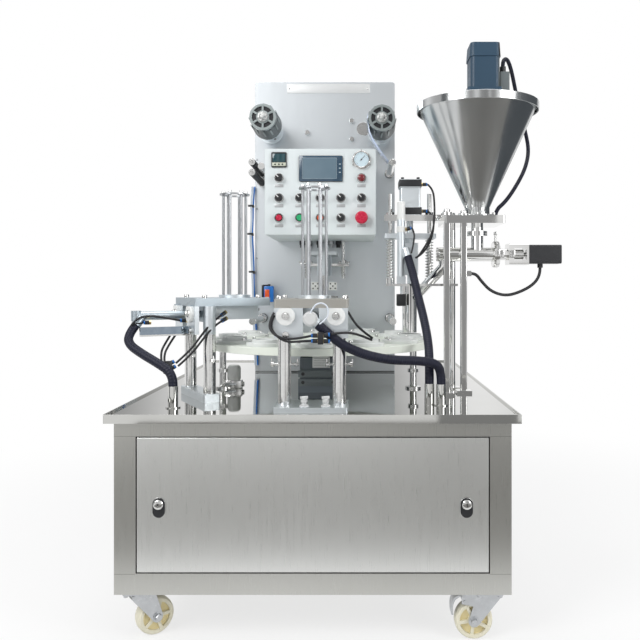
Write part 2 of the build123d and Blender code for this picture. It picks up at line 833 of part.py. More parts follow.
with BuildPart() as indexer_box:
    with BuildSketch(Plane.XY.offset(deck_z)):
        with Locations((turn_x, turn_y)):
            Rectangle(gearbox_w + 8, gearbox_d + 8)
    extrude(amount=gearbox_base_h)
    with BuildSketch(Plane.XY.offset(deck_z + gearbox_base_h)):
        with Locations((turn_x, turn_y)):
            RectangleRounded(gearbox_w, gearbox_d, 6)
    extrude(amount=gearbox_top - deck_z - gearbox_base_h)
    with BuildSketch(Plane.XY.offset(gearbox_top)):
        with Locations((turn_x, turn_y)):
            Circle(gearbox_flange_r)
    extrude(amount=gearbox_flange_top - gearbox_top)
    with BuildSketch(Plane.XY.offset(gearbox_flange_top)):
        with Locations((turn_x, turn_y)):
            Circle(table_shaft_r + shaft_play)
    extrude(amount=-(gearbox_flange_top - gearbox_top + 45), mode=Mode.SUBTRACT)
save(indexer_box, "indexer_box")


# Dispensing stations. Each is built on a level plane with its local X pointing outwards from the
# turntable's axis, so that both stations share one set of places.
front_cylinder_r = 18.0
front_cylinder_len = 75.0
side_cylinder_r = 12.0
side_cylinder_len = 135.0
slide_z = 806.0
slide_t = 8.0
slide_half = 38.0
slide_block_u = 355.0
slide_rod_r = 5.0
slide_rod_z = 797.0
magazine_hole_r = 28.0
back_plate_u = 380.0
back_plate_t = 10.0
cheek_t = 10.0
nylon_disc_r = 23.5
nylon_disc_t = 10.0
nylon_disc_from_middle = 63.0
rail_z = 742.0
rail_h = 25.0
rail_len = 130.0


def make_station(heading, base_depth, base_t, column_half, side_rail, name):
    """Two columns on a foot bar carry a head of plates over one die."""

    def deck(z):
        return level(turn_x, turn_y, z, heading)

    with BuildPart() as station:
        with BuildSketch(deck(deck_z)):
            with Locations((station_radius, 0)):
                RectangleRounded(base_depth, 2 * column_half + 44, 4)
        extrude(amount=base_t)
        with BuildSketch(deck(deck_z)):
            with Locations((station_radius, -column_half), (station_radius, column_half)):
                Circle(column_r)
        extrude(amount=station_top_z - deck_z)
        # Top plate with the opening that the capsules drop through
        plate_len = station_outer_u - station_inner_u
        with BuildSketch(deck(station_top_z)):
            with Locations((station_inner_u + plate_len / 2, 0)):
                RectangleRounded(plate_len, 2 * station_plate_half, 4)
            with Locations((die_pitch_r, 0)):
                Circle(magazine_hole_r, mode=Mode.SUBTRACT)
        extrude(amount=station_plate_t)
        # Two front plates with a recess between them, and the plate behind the recess
        plate_w = station_plate_half - front_recess_half
        with BuildSketch(deck(front_plate_z)):
            for side in (-1, 1):
                plate_at = (station_outer_u - front_plate_t / 2, side * (front_recess_half + plate_w / 2))
                with Locations(plate_at):
                    Rectangle(front_plate_t, plate_w)
        extrude(amount=station_top_z - front_plate_z)
        with BuildSketch(deck(slide_rod_z - front_cylinder_r - 2)):
            with Locations((back_plate_u - back_plate_t / 2, 0)):
                Rectangle(back_plate_t, 2 * column_half)
        extrude(amount=station_top_z - slide_rod_z + front_cylinder_r + 2)
        # Side cheeks that guide the separator
        with BuildSketch(deck(slide_z - 22)):
            for side in (-1, 1):
                with Locations((station_inner_u + 20, side * (slide_half + body_gap + cheek_t / 2))):
                    Rectangle(
                        back_plate_u - station_inner_u - 20, cheek_t, align=(Align.MIN, Align.CENTER)
                    )
        extrude(amount=station_top_z - slide_z + 22)
        with BuildSketch(upright(turn_x, turn_y, 0, heading + 90).offset(station_outer_u)):
            for side in (-1, 1):
                with Locations((side * nylon_disc_from_middle, slide_rod_z + 6)):
                    Circle(nylon_disc_r)
        extrude(amount=nylon_disc_t)
        with BuildSketch(upright(turn_x, turn_y, 0, heading + 90)):
            with Locations((0, slide_rod_z)):
                Circle(slide_rod_r + shaft_play)
        extrude(amount=back_plate_u, mode=Mode.SUBTRACT)
        if side_rail:
            with BuildSketch(deck(rail_z)):
                with Locations((station_outer_u - front_plate_t, front_recess_half + 6)):
                    Rectangle(rail_len + front_plate_t, 10, align=(Align.MIN, Align.CENTER))
            extrude(amount=rail_h)
    save(station, name)


make_station(capsule_station_heading, 130, 13, 70.5, False, "capsule_station_frame")
make_station(lid_station_heading, 46, 22, 86.5, True, "lid_station_frame")


def make_separator(heading, name):
    """Slide that holds back the stack; its hole comes under the stack at the end of the stroke."""
    with BuildPart() as separator:
        with BuildSketch(level(turn_x, turn_y, slide_z, heading)):
            with Locations(((station_inner_u + 10 + slide_block_u) / 2, 0)):
                RectangleRounded(slide_block_u - station_inner_u - 10, 2 * slide_half, 4)
            with Locations((die_pitch_r + slide_stroke, 0)):
                Circle(magazine_hole_r, mode=Mode.SUBTRACT)
        extrude(amount=slide_t)
        with BuildSketch(level(turn_x, turn_y, slide_rod_z - 9, heading)):
            with Locations((slide_block_u, 0)):
                Rectangle(14, 36, align=(Align.MAX, Align.CENTER))
        extrude(amount=slide_z - slide_rod_z + 9)
        with BuildSketch(upright(turn_x, turn_y, 0, heading + 90).offset(slide_block_u)):
            with Locations((0, slide_rod_z)):
                Circle(slide_rod_r)
        extrude(amount=back_plate_u - slide_block_u + slide_stroke + 15)
    save(separator, name)


make_separator(capsule_station_heading, "capsule_separator")
make_separator(lid_station_heading, "lid_separator")


# Magazines: six rods in a foot ring and a head ring, over the die of each station
magazine_z = station_top_z + station_plate_t

with BuildPart() as capsule_magazines:
    for heading, turn in ((capsule_station_heading, 0.0), (lid_station_heading, 15.0)):
        with BuildSketch(level(turn_x, turn_y, magazine_z, heading)):
            with Locations((die_pitch_r, 0)):
                Circle(magazine_ring_r)
                Circle(magazine_hole_r, mode=Mode.SUBTRACT)
        extrude(amount=8)
        with BuildSketch(level(turn_x, turn_y, magazine_z + magazine_h, heading)):
            with Locations((die_pitch_r, 0)):
                Circle(magazine_ring_r - 2)
                Circle(magazine_hole_r, mode=Mode.SUBTRACT)
        extrude(amount=-4)
        with BuildSketch(level(turn_x, turn_y, magazine_z, heading)):
            with Locations((die_pitch_r, 0)):
                with PolarLocations(rod_circle_r, 6, start_angle=90 + turn):
                    Circle(rod_r)
        extrude(amount=magazine_h + 3)
save(capsule_magazines, "capsule_magazines")


# Routes of the hoses and cables, as points measured from the tray's middle, its front edge and the floor
cable_r = 4.5
conduit_r = 6.0


def route(*points):
    """Turn points measured from the tray into points of the machine's own frame."""
    return [Vector(tray_x + x, tray_front + y, z) for x, y, z in points]


left_route = route(
    (-369, 130, 619), (-369, 130, 651), (-412, 146, 676), (-462, 166, 700), (-500, 184, 722),
    (-507, 197, 746), (-491, 211, 772),
)
centre_route = route(
    (10, 56, 782), (38, 54, 758), (74, 62, 729), (128, 84, 704), (196, 110, 688), (262, 132, 685),
    (314, 148, 677), (330, 170, 651), (330, 170, 619),
)
right_route = route(
    (259, 421, 966), (269, 408, 932), (283, 360, 856), (298, 298, 778), (304, 238, 716), (300, 180, 668),
    (300, 180, 619),
)
agitator_route = route(
    (545, 430, 1537), (545, 430, 1556), (560, 445, 1568), (578, 470, 1545), (600, 510, 1490),
    (622, 548, 1430), (645, 566, 1370), (654, 558, 1308), (636, 530, 1248), (600, 488, 1190),
    (560, 456, 1136), (524, 438, 1106), (524, 438, 1083),
)
servo_route = route(
    (657, 430, 933), (657, 430, 912), (638, 427, 884), (600, 423, 862), (552, 417, 848), (505, 408, 862),
    (474, 399, 894), (458, 394, 915), (444, 394, 915),
)


# Air cylinders: one behind each separator, the tamper's, the gate's and the sealing head's
tamper_body = 68.0
tamper_cap_h = 25.0
tamper_body_z = tamper_top_z + tamper_top_t
tamper_body_h = 110.0
tamper_rod_r = 10.0
gate_x = tray_x + 240.0
gate_y = tray_front + 438.0
gate_r = 12.0
gate_top = 1100.0
gate_foot = tamper_low_z + tamper_low_t
gate_rod_r = 3.0
seal_body_r = 25.0
seal_body_len = 70.0
hose_port_r = hose_r + 1
port_reach = 26.0

with BuildPart() as air_cylinders:
    for heading, body_r, length in (
        (capsule_station_heading, front_cylinder_r, front_cylinder_len),
        (lid_station_heading, side_cylinder_r, side_cylinder_len + station_outer_u - back_plate_u),
    ):
        back = upright(turn_x, turn_y, 0, heading + 90).offset(back_plate_u)
        with BuildSketch(back):
            with Locations((0, slide_rod_z)):
                Circle(body_r)
        extrude(amount=length)
        with BuildSketch(back):
            with Locations((0, slide_rod_z)):
                Circle(slide_rod_r + shaft_play)
        extrude(amount=60, mode=Mode.SUBTRACT)
    # Round end block of the side cylinder
    side_end_u = station_outer_u + side_cylinder_len
    with BuildSketch(level(turn_x, turn_y, slide_rod_z - side_cylinder_r - 2, lid_station_heading)):
        with Locations((side_end_u - 1, 0)):
            Circle(side_cylinder_r + 1)
    extrude(amount=2 * side_cylinder_r + 4)
    # Ports that the three hoses spring from, each square to its hose's end
    for end, inner in (
        (left_route[-1], left_route[-2]),
        (centre_route[0], centre_route[1]),
        (right_route[0], right_route[1]),
    ):
        with BuildSketch(Plane(origin=end, z_dir=tuple(end - inner))):
            Circle(hose_port_r)
        extrude(amount=port_reach)
    # Square tamper cylinder on the tower's top plate
    for z, size, height in (
        (tamper_body_z, tamper_body, tamper_cap_h),
        (tamper_body_z + tamper_cap_h, tamper_body - 7, tamper_body_h - 2 * tamper_cap_h),
        (tamper_body_z + tamper_body_h - tamper_cap_h, tamper_body, tamper_cap_h),
    ):
        with BuildSketch(level(fill_x, turn_y, z)):
            RectangleRounded(size, size, 5)
        extrude(amount=height)
    with BuildSketch(level(fill_x, turn_y, tamper_body_z)):
        Circle(tamper_rod_r + shaft_play)
    extrude(amount=70, mode=Mode.SUBTRACT)
    # Slim gate cylinder, standing on the lower plate
    with BuildSketch(level(gate_x, gate_y, gate_foot)):
        Rectangle(26, 26)
    extrude(amount=22)
    with BuildSketch(level(gate_x, gate_y, gate_foot)):
        Circle(gate_r)
    extrude(amount=gate_top - gate_foot)
    with BuildSketch(level(gate_x, gate_y, gate_top)):
        Rectangle(14, 18)
    extrude(amount=16)
    with BuildSketch(level(gate_x, gate_y, gate_foot)):
        Circle(gate_rod_r)
    extrude(amount=-(tamper_low_t + 30))
    with BuildSketch(level(gate_x, gate_y, gate_foot - tamper_low_t - 30)):
        Circle(gate_r)
    extrude(amount=-30)
    # Sealing cylinder, hung from the board's arm
    with BuildSketch(level(turn_x, seal_y, seal_arm_z)):
        Circle(seal_body_r)
    extrude(amount=-seal_body_len)
    with BuildSketch(level(turn_x, seal_y, seal_arm_z - seal_body_len)):
        Circle(seal_rod_r + shaft_play)
    extrude(amount=seal_body_len - 10, mode=Mode.SUBTRACT)
save(air_cylinders, "air_cylinders")


# Sealing head: rod, insulated carrier and heated plate, pressed down on the film over the die
seal_head_z = 786.0
seal_head_r = 34.0
seal_carrier_z = 830.0

with BuildPart() as heat_seal_head:
    with BuildSketch(level(turn_x, seal_y, seal_head_z)):
        Circle(seal_head_r)
    extrude(amount=22)
    chamfer(heat_seal_head.faces().sort_by(Axis.Z)[0].edges(), 3)
    with BuildSketch(level(turn_x, seal_y, seal_head_z + 22)):
        with Locations((-20, 0), (20, 0)):
            Circle(5)
    extrude(amount=seal_carrier_z - seal_head_z - 22)
    with BuildSketch(level(turn_x, seal_y, seal_carrier_z)):
        RectangleRounded(96, 60, 5)
    extrude(amount=14)
    with BuildSketch(level(turn_x, seal_y, seal_carrier_z)):
        Circle(seal_rod_r)
    extrude(amount=seal_arm_z - seal_body_len - seal_carrier_z + 28)
save(heat_seal_head, "heat_seal_head")


# Filling tower: three columns, the hopper plate, the tamper's plates and guide rods, the drop tube
tower_columns = [
    (tray_x + 367, tray_front + 352),
    (tray_x + 397, tray_front + 466),
    (tray_x + 422, tray_front + 394),
]
tower_column_r = 10.0
tower_column_w = 18.0
foot_w = 44.0
foot_t = 8.0
collar_h = 18.0
chute_r = 15.0
chute_wall = 2.0
chute_bend = 20.0
chute_top = (hopper_x - 100.0, auger_y, auger_z - auger_r - 16)
chute_foot = (fill_x + 16, turn_y - 12, tamper_low_z - 34)
inlet_r = 18.0

with BuildPart() as tower_frame:
    with BuildSketch(Plane.XY.offset(deck_z)):
        with Locations(*tower_columns):
            Rectangle(foot_w, foot_w)
    extrude(amount=foot_t)
    with BuildSketch(Plane.XY.offset(deck_z)):
        with Locations(tower_columns[0], tower_columns[2]):
            RectangleRounded(tower_column_w, tower_column_w, 3)
        with Locations(tower_columns[1]):
            Circle(tower_column_r)
    extrude(amount=tower_plate_z - deck_z)
    with BuildSketch(Plane.XY.offset(tower_plate_z)):
        with Locations((hopper_x - 21, auger_y - 6)):
            RectangleRounded(176, 168, 6)
        with Locations((hopper_x, auger_y)):
            Circle(inlet_r - 2, mode=Mode.SUBTRACT)
    extrude(amount=tower_plate_t)
    # Tamper's top and lower plates
    with BuildSketch(Plane.XY.offset(tamper_top_z)):
        with Locations((fill_x - guide_pitch / 2 - 20, turn_y)):
            Rectangle(guide_pitch + 70, 86, align=(Align.MIN, Align.CENTER))
        with Locations((fill_x, turn_y)):
            Circle(tamper_rod_r + 2, mode=Mode.SUBTRACT)
    extrude(amount=tamper_top_t)
    with BuildSketch(Plane.XY.offset(tamper_low_z)):
        with Locations((fill_x - guide_pitch / 2 - 16, turn_y + 30)):
            Rectangle(214, 116, align=(Align.MIN, Align.MAX))
        with Locations((fill_x, turn_y)):
            Circle(drop_tube_r - drop_tube_wall, mode=Mode.SUBTRACT)
        with Locations((gate_x, gate_y)):
            Circle(gate_rod_r + hole_gap, mode=Mode.SUBTRACT)
    extrude(amount=tamper_low_t)
    # Guide rods and their collars
    with BuildSketch(level(fill_x, turn_y, tamper_low_z)):
        with Locations((-guide_pitch / 2, 0), (guide_pitch / 2, 0)):
            Circle(guide_r)
    extrude(amount=guide_top - tamper_low_z)
    with BuildSketch(level(fill_x, turn_y, tamper_low_z + tamper_low_t)):
        with Locations((-guide_pitch / 2, 0), (guide_pitch / 2, 0)):
            Circle(14)
    extrude(amount=collar_h)
    # Chute from the auger, then the drop tube, both hollow
    chute_mouth = Vector(chute_top[0], chute_top[1], auger_z - auger_r)
    with BuildLine() as chute_path:
        FilletPolyline(chute_mouth, chute_top, chute_foot, radius=chute_bend)
    with BuildSketch(Plane(origin=chute_mouth, z_dir=(0, 0, -1))):
        Circle(chute_r)
    sweep(path=chute_path.line)
    with BuildSketch(level(fill_x, turn_y, die_top + 4)):
        Circle(drop_tube_r)
    extrude(amount=tamper_low_z - die_top - 4)
    with BuildSketch(Plane(origin=chute_mouth, z_dir=(0, 0, -1))):
        Circle(chute_r - chute_wall)
    sweep(path=chute_path.line, mode=Mode.SUBTRACT)
    with BuildSketch(level(fill_x, turn_y, die_top)):
        Circle(drop_tube_r - drop_tube_wall)
    extrude(amount=tamper_low_z - die_top, mode=Mode.SUBTRACT)
    # Clip that holds the end of the drive's cable
    with BuildSketch(level(tower_columns[2][0] + 14, tower_columns[2][1], 907)):
        Rectangle(16, 16)
    extrude(amount=16)
save(tower_frame, "tower_frame")


# Tamper: a plate on the guide rods, its ram block, the rod up into the cylinder and the foot
carriage_z = 1024.0
carriage_t = 15.0
ram_block_top = 1011.0
ram_block_z = 912.0
ram_r = 8.0
foot_r = 17.0
foot_z = die_top + 15
foot_h = 12.0

with BuildPart() as tamper_carriage:
    with BuildSketch(level(fill_x, turn_y, carriage_z)):
        RectangleRounded(guide_pitch + 36, 70, 5)
        with Locations((-guide_pitch / 2, 0), (guide_pitch / 2, 0)):
            Circle(guide_r + shaft_play, mode=Mode.SUBTRACT)
    extrude(amount=carriage_t)
    with BuildSketch(level(fill_x, turn_y, ram_block_top)):
        Circle(15)
    extrude(amount=carriage_z - ram_block_top)
    with BuildSketch(level(fill_x, turn_y, ram_block_z)):
        RectangleRounded(50, 32, 3)
    extrude(amount=ram_block_top - ram_block_z)
    with BuildSketch(level(fill_x, turn_y, foot_z)):
        Circle(ram_r)
    extrude(amount=ram_block_z - foot_z)
    with BuildSketch(level(fill_x, turn_y, foot_z)):
        Circle(foot_r)
    extrude(amount=foot_h)
    with BuildSketch(level(fill_x, turn_y, carriage_z + carriage_t)):
        Circle(tamper_rod_r)
    extrude(amount=tamper_body_z - carriage_z - carriage_t + 50)
save(tamper_carriage, "tamper_carriage")

spring_z = tamper_low_z + tamper_low_t + collar_h
spring_outer_r = 13.0
spring_wire = 3.0

with BuildPart() as tamper_springs:
    with BuildSketch(level(fill_x, turn_y, spring_z)):
        with Locations((-guide_pitch / 2, 0), (guide_pitch / 2, 0)):
            Circle(spring_outer_r)
            Circle(spring_outer_r - spring_wire, mode=Mode.SUBTRACT)
    extrude(amount=carriage_z - spring_z)
save(tamper_springs, "tamper_springs")


# Hopper: a spun cone with a neck and a foot flange, under a banded lid
hopper_slope = (cone_top_r - cone_bottom_r) / (cone_top_z - cone_bottom_z)
hopper_axis = Axis((hopper_x, auger_y, 0), (0, 0, 1))
hopper_foot = tower_plate_z + tower_plate_t

with BuildPart() as hopper:
    with BuildSketch(upright(hopper_x, auger_y, 0)):
        with BuildLine():
            Polyline(
                (inlet_r - 2, hopper_foot), (48, hopper_foot), (48, hopper_foot + 8),
                (cone_bottom_r, hopper_foot + 8), (cone_bottom_r, cone_bottom_z), (cone_top_r, cone_top_z),
                (cone_top_r - hopper_wall, cone_top_z), (cone_bottom_r - hopper_wall, cone_bottom_z + 1),
                (inlet_r - 2, cone_bottom_z - 10), close=True,
            )
        make_face()
    revolve(axis=hopper_axis)
save(hopper, "hopper")

agitator_r = 8.0

with BuildPart() as hopper_lid:
    with BuildSketch(upright(hopper_x, auger_y, 0)):
        with BuildLine():
            Polyline(
                (agitator_r + shaft_play, cone_top_z), (cone_top_r + 1, cone_top_z),
                (cone_top_r + 1, cone_top_z - lid_band), (lid_r, cone_top_z - lid_band),
                (lid_r, cone_top_z + lid_t), (agitator_r + shaft_play, cone_top_z + lid_t), close=True,
            )
        make_face()
    revolve(axis=hopper_axis)
save(hopper_lid, "hopper_lid")


# Agitator drive: gearbox, motor body and fan cover, with the terminal box and its gland
lid_top = cone_top_z + lid_t
motor_x = hopper_x + 18.0
gear_w, gear_d, gear_h = 105.0, 90.0, 45.0
motor_w, motor_h = 87.0, 91.0
fan_w, fan_h = 93.0, 41.0
terminal_w, terminal_d, terminal_h = 31.0, 56.0, 75.0
terminal_z = 1440.0
gland_r = 9.0
gland_h = 22.0
motor_z = lid_top + gear_h
terminal_x = motor_x + motor_w / 2 + terminal_w / 2

with BuildPart() as agitator_motor:
    with BuildSketch(level(motor_x, auger_y, lid_top)):
        RectangleRounded(gear_w, gear_d, 6)
    extrude(amount=gear_h)
    with BuildSketch(level(motor_x, auger_y, motor_z)):
        RectangleRounded(motor_w, motor_w, 14)
    extrude(amount=motor_h)
    with BuildSketch(level(motor_x, auger_y, motor_z + motor_h)):
        RectangleRounded(fan_w, fan_w, 16)
    extrude(amount=fan_h, taper=4)
    with BuildSketch(level(terminal_x, auger_y, terminal_z)):
        RectangleRounded(terminal_w, terminal_d, 5)
    extrude(amount=terminal_h)
    with BuildSketch(level(terminal_x, auger_y, terminal_z + terminal_h)):
        Circle(gland_r)
    extrude(amount=gland_h)
    with BuildSketch(level(hopper_x, auger_y, lid_top)):
        Circle(agitator_r + shaft_play)
    extrude(amount=gear_h - 10, mode=Mode.SUBTRACT)
save(agitator_motor, "agitator_motor")

arm_heights = (1180.0, 1250.0, 1320.0)
arm_gap = 12.0

with BuildPart() as agitator:
    with BuildSketch(level(hopper_x, auger_y, cone_bottom_z)):
        Circle(agitator_r)
    extrude(amount=lid_top + gear_h - 15 - cone_bottom_z)
    for number, z in enumerate(arm_heights):
        reach = cone_bottom_r + (z - cone_bottom_z) * hopper_slope - arm_gap
        with BuildSketch(level(hopper_x, auger_y, z, 60 * number)):
            Rectangle(2 * reach, 12)
        extrude(amount=8)
save(agitator, "agitator")


# Auger tube: barrel with its inlet and outlet, clamp, bearing neck and the lantern of the coupling
auger_left = chute_top[0] - 22.0
clamp_x = hopper_x + auger_flange_from_hopper
lantern_x = clamp_x + clamp_len + bearing_len + neck_len
lantern_w = 63.0
servo_x = lantern_x + lantern_len
along_auger = Plane(origin=(auger_left, auger_y, auger_z), x_dir=(0, 1, 0), z_dir=(1, 0, 0))
auger_shaft_r = 6.0

with BuildPart() as auger_tube:
    with BuildSketch(along_auger):
        Circle(auger_r)
    extrude(amount=clamp_x - auger_left)
    with BuildSketch(along_auger.offset(clamp_x - auger_left)):
        Circle(35)
    extrude(amount=clamp_len)
    with BuildSketch(along_auger.offset(clamp_x + clamp_len - auger_left)):
        Circle(17)
    extrude(amount=bearing_len + neck_len)
    with BuildSketch(along_auger.offset(lantern_x - auger_left - 8)):
        RectangleRounded(lantern_w, lantern_w, 6)
    extrude(amount=lantern_len + 8)
    # Inlet pipe with its clamp, and the outlet stub
    with BuildSketch(level(hopper_x, auger_y, auger_z)):
        Circle(inlet_r)
    extrude(amount=tower_plate_z - auger_z)
    with BuildSketch(level(hopper_x, auger_y, auger_z + 55)):
        Circle(30)
    extrude(amount=14)
    with BuildSketch(level(chute_top[0], chute_top[1], auger_z - auger_r)):
        Circle(chute_r)
    extrude(amount=auger_r)
    # Bores
    with BuildSketch(along_auger.offset(4)):
        Circle(auger_r - auger_wall)
    extrude(amount=clamp_x - auger_left - 4, mode=Mode.SUBTRACT)
    with BuildSketch(along_auger.offset(clamp_x - auger_left)):
        Circle(auger_shaft_r + shaft_play)
    extrude(amount=servo_x - clamp_x, mode=Mode.SUBTRACT)
    with BuildSketch(level(hopper_x, auger_y, auger_z)):
        Circle(inlet_r - 2)
    extrude(amount=tower_plate_z - auger_z, mode=Mode.SUBTRACT)
    with BuildSketch(level(chute_top[0], chute_top[1], auger_z - auger_r)):
        Circle(chute_r - chute_wall)
    extrude(amount=auger_r, mode=Mode.SUBTRACT)
    # The lantern is open on both long sides
    with BuildSketch(Plane.XZ.offset(-auger_y)):
        with Locations((lantern_x + lantern_len / 2, auger_z)):
            Rectangle(lantern_len - 14, 36)
    extrude(amount=lantern_w, both=True, mode=Mode.SUBTRACT)
save(auger_tube, "auger_tube")

flight_r = auger_r - auger_wall - 1.0
flight_pitch = 32.0
flight_t = 3.0
flight_turns = 4
flight_start = 12.0

with BuildPart() as auger_screw:
    with BuildSketch(along_auger.offset(flight_start - 4)):
        Circle(auger_shaft_r)
    extrude(amount=servo_x - auger_left - flight_start - 4)
    with BuildSketch(along_auger.offset(lantern_x - auger_left + 10)):
        Circle(15)
    extrude(amount=lantern_len - 22)
    flight_foot = Vector(auger_left + flight_start, auger_y, auger_z)
    with BuildLine() as flight_path:
        Helix(
            pitch=flight_pitch,
            height=flight_pitch * flight_turns,
            radius=(flight_r + auger_shaft_r - 1) / 2,
            center=flight_foot, direction=(1, 0, 0),
        )
    flight_at = flight_path.line @ 0
    flight_out = tuple(flight_at - flight_foot)
    with BuildSketch(Plane(origin=flight_at, x_dir=flight_out, z_dir=flight_path.line % 0)):
        Rectangle(flight_r - auger_shaft_r + 1, flight_t)
    sweep(path=flight_path.line, is_frenet=True)
save(auger_screw, "auger_screw")


# Servo motor of the auger
servo_w = 56.0

with BuildPart() as servo_motor:
    with BuildSketch(along_auger.offset(servo_x - auger_left)):
        RectangleRounded(servo_w, servo_w, 6)
    extrude(amount=servo_len)
    with BuildSketch(level(servo_x + 40, auger_y, auger_z - servo_w / 2)):
        Circle(8)
    extrude(amount=-12)
save(servo_motor, "servo_motor")


def make_cord(points, radius, name):
    """Tube along straight runs joined by tangent arcs, each as large as its two runs allow."""
    bends = []
    for before, corner, after in zip(points, points[1:], points[2:]):
        half_turn = radians((corner - before).get_angle(after - corner)) / 2
        bends.append(0.45 * min((corner - before).length, (after - corner).length) / tan(half_turn))
    with BuildPart() as cord:
        with BuildLine() as line:
            FilletPolyline(*points, radius=bends)
        with BuildSketch(Plane(origin=line.line @ 0, z_dir=line.line % 0)):
            Circle(radius)
        sweep(path=line.line)
    save(cord, name)
    print(name, "length", round(line.wires()[0].length), "bend radii", [round(bend) for bend in bends])


make_cord(left_route, hose_r, "left_hose")
make_cord(centre_route, hose_r, "centre_hose")
make_cord(right_route, hose_r, "right_hose")
make_cord(agitator_route, conduit_r, "agitator_hose")
make_cord(servo_route, cable_r, "servo_cable")
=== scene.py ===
# %% [markdown]
# # A coffee capsule filling machine
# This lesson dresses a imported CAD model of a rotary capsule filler. The CAD gives every solid its place;
# here the solids get smooth faces, worn edges and real finishes, and the small parts that a CAD model
# leaves out are modelled beside them. All lengths are in metres and share the CAD model's frame:
# +X to the right, +Y to the back, +Z up, with the origin on the floor.

# %% Load the frame
import json
from math import cos, pi, radians, sin

import bmesh
import bpy
from mathutils import Matrix, Vector

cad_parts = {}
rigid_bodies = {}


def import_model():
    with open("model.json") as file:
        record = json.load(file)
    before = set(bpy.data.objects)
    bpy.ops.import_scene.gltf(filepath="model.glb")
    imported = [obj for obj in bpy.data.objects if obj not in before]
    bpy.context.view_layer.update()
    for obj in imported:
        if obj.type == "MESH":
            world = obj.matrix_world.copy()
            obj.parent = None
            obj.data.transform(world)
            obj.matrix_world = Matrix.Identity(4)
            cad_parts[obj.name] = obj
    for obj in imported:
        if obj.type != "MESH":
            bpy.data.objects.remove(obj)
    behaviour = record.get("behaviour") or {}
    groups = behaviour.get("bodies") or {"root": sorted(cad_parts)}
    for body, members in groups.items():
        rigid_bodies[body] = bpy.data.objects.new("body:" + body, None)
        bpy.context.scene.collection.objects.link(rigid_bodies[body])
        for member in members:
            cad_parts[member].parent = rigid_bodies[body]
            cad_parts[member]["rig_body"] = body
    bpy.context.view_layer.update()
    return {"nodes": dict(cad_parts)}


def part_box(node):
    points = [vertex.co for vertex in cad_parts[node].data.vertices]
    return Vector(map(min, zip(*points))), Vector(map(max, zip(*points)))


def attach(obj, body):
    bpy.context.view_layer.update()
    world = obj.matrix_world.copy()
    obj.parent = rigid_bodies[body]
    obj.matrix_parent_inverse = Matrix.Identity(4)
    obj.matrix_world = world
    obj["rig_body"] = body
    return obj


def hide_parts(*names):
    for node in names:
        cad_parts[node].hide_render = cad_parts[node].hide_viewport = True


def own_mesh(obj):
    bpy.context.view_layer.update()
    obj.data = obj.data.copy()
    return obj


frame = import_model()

scene = bpy.context.scene
scene.view_settings.view_transform = "Standard"

# %% [markdown]
# ## The camera
# The photograph is a level, straight-on view: upright edges stay upright and all lines that run away
# meet at one point, right of the middle and above it. A camera could be tilted until the machine fills
# the frame, but then its columns would lean. A level camera with a small lens shift keeps them upright.

# %% Camera
lens = bpy.data.cameras.new("view")
lens.sensor_width = 36
lens.lens = 40.5
lens.shift_x = -0.061
lens.shift_y = -0.053
camera = bpy.data.objects.new("view", lens)
camera.location = (0.0078, -2.3735, 0.878)
camera.rotation_euler = (pi / 2, 0, 0)
scene.collection.objects.link(camera)
scene.camera = camera
print("camera with a", lens.lens, "mm lens,", round(camera.location.z, 3), "m above the floor")

# %% [markdown]
# ## Hoses and cables
# Three heavy hoses rise from pipes in the tray, each a bundle of air lines in black spiral wrap. A
# conduit comes over the hopper from the stirring motor, and the servo's cable sags below it. Straight
# runs with round corners would look like bent pipe. Each is one smooth spline through a few given
# points instead, so that it bends as a stiff hose does.

# %% Cord helper
TRAY_MIDDLE, TRAY_FRONT = -0.105, -0.6385


def from_tray(*points):
    """Millimetres from the tray's middle, its front edge and the floor, to metres in the frame."""
    return [(x / 1000 + TRAY_MIDDLE, y / 1000 + TRAY_FRONT, z / 1000) for x, y, z in points]


def spline(name, points, radius=0.0):
    """Mesh of one smooth spline through the route: its bare line, or a tube where it has a radius."""
    curve = bpy.data.curves.new(name, "CURVE")
    curve.dimensions = "3D"
    curve.bevel_depth = radius
    curve.bevel_resolution = 5
    curve.use_fill_caps = True
    curve.resolution_u = 12
    line = curve.splines.new("NURBS")
    line.points.add(len(points) - 1)
    for point, place in zip(line.points, points):
        point.co = (*place, 1)
    line.order_u = 3
    line.use_endpoint_u = True
    holder = bpy.data.objects.new(name, curve)
    mesh = bpy.data.meshes.new_from_object(holder)
    mesh.name = name
    bpy.data.objects.remove(holder)
    bpy.data.curves.remove(curve)
    return mesh


def lay_cord(name, points, radius, replaces=None):
    """A round hose along a smooth spline, returned with the length that its line has."""
    bare = spline(name + "_line", points)
    path = [tuple(v.co) for v in bare.vertices]
    length = sum((Vector(a) - Vector(b)).length for a, b in zip(path, path[1:]))
    bpy.data.meshes.remove(bare)
    mesh = spline(name, points, radius)
    for face in mesh.polygons:
        face.use_smooth = len(face.vertices) == 4
    piece = bpy.data.objects.new(name, mesh)
    scene.collection.objects.link(piece)
    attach(piece, "machine")
    if replaces:
        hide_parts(replaces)
    return piece, length


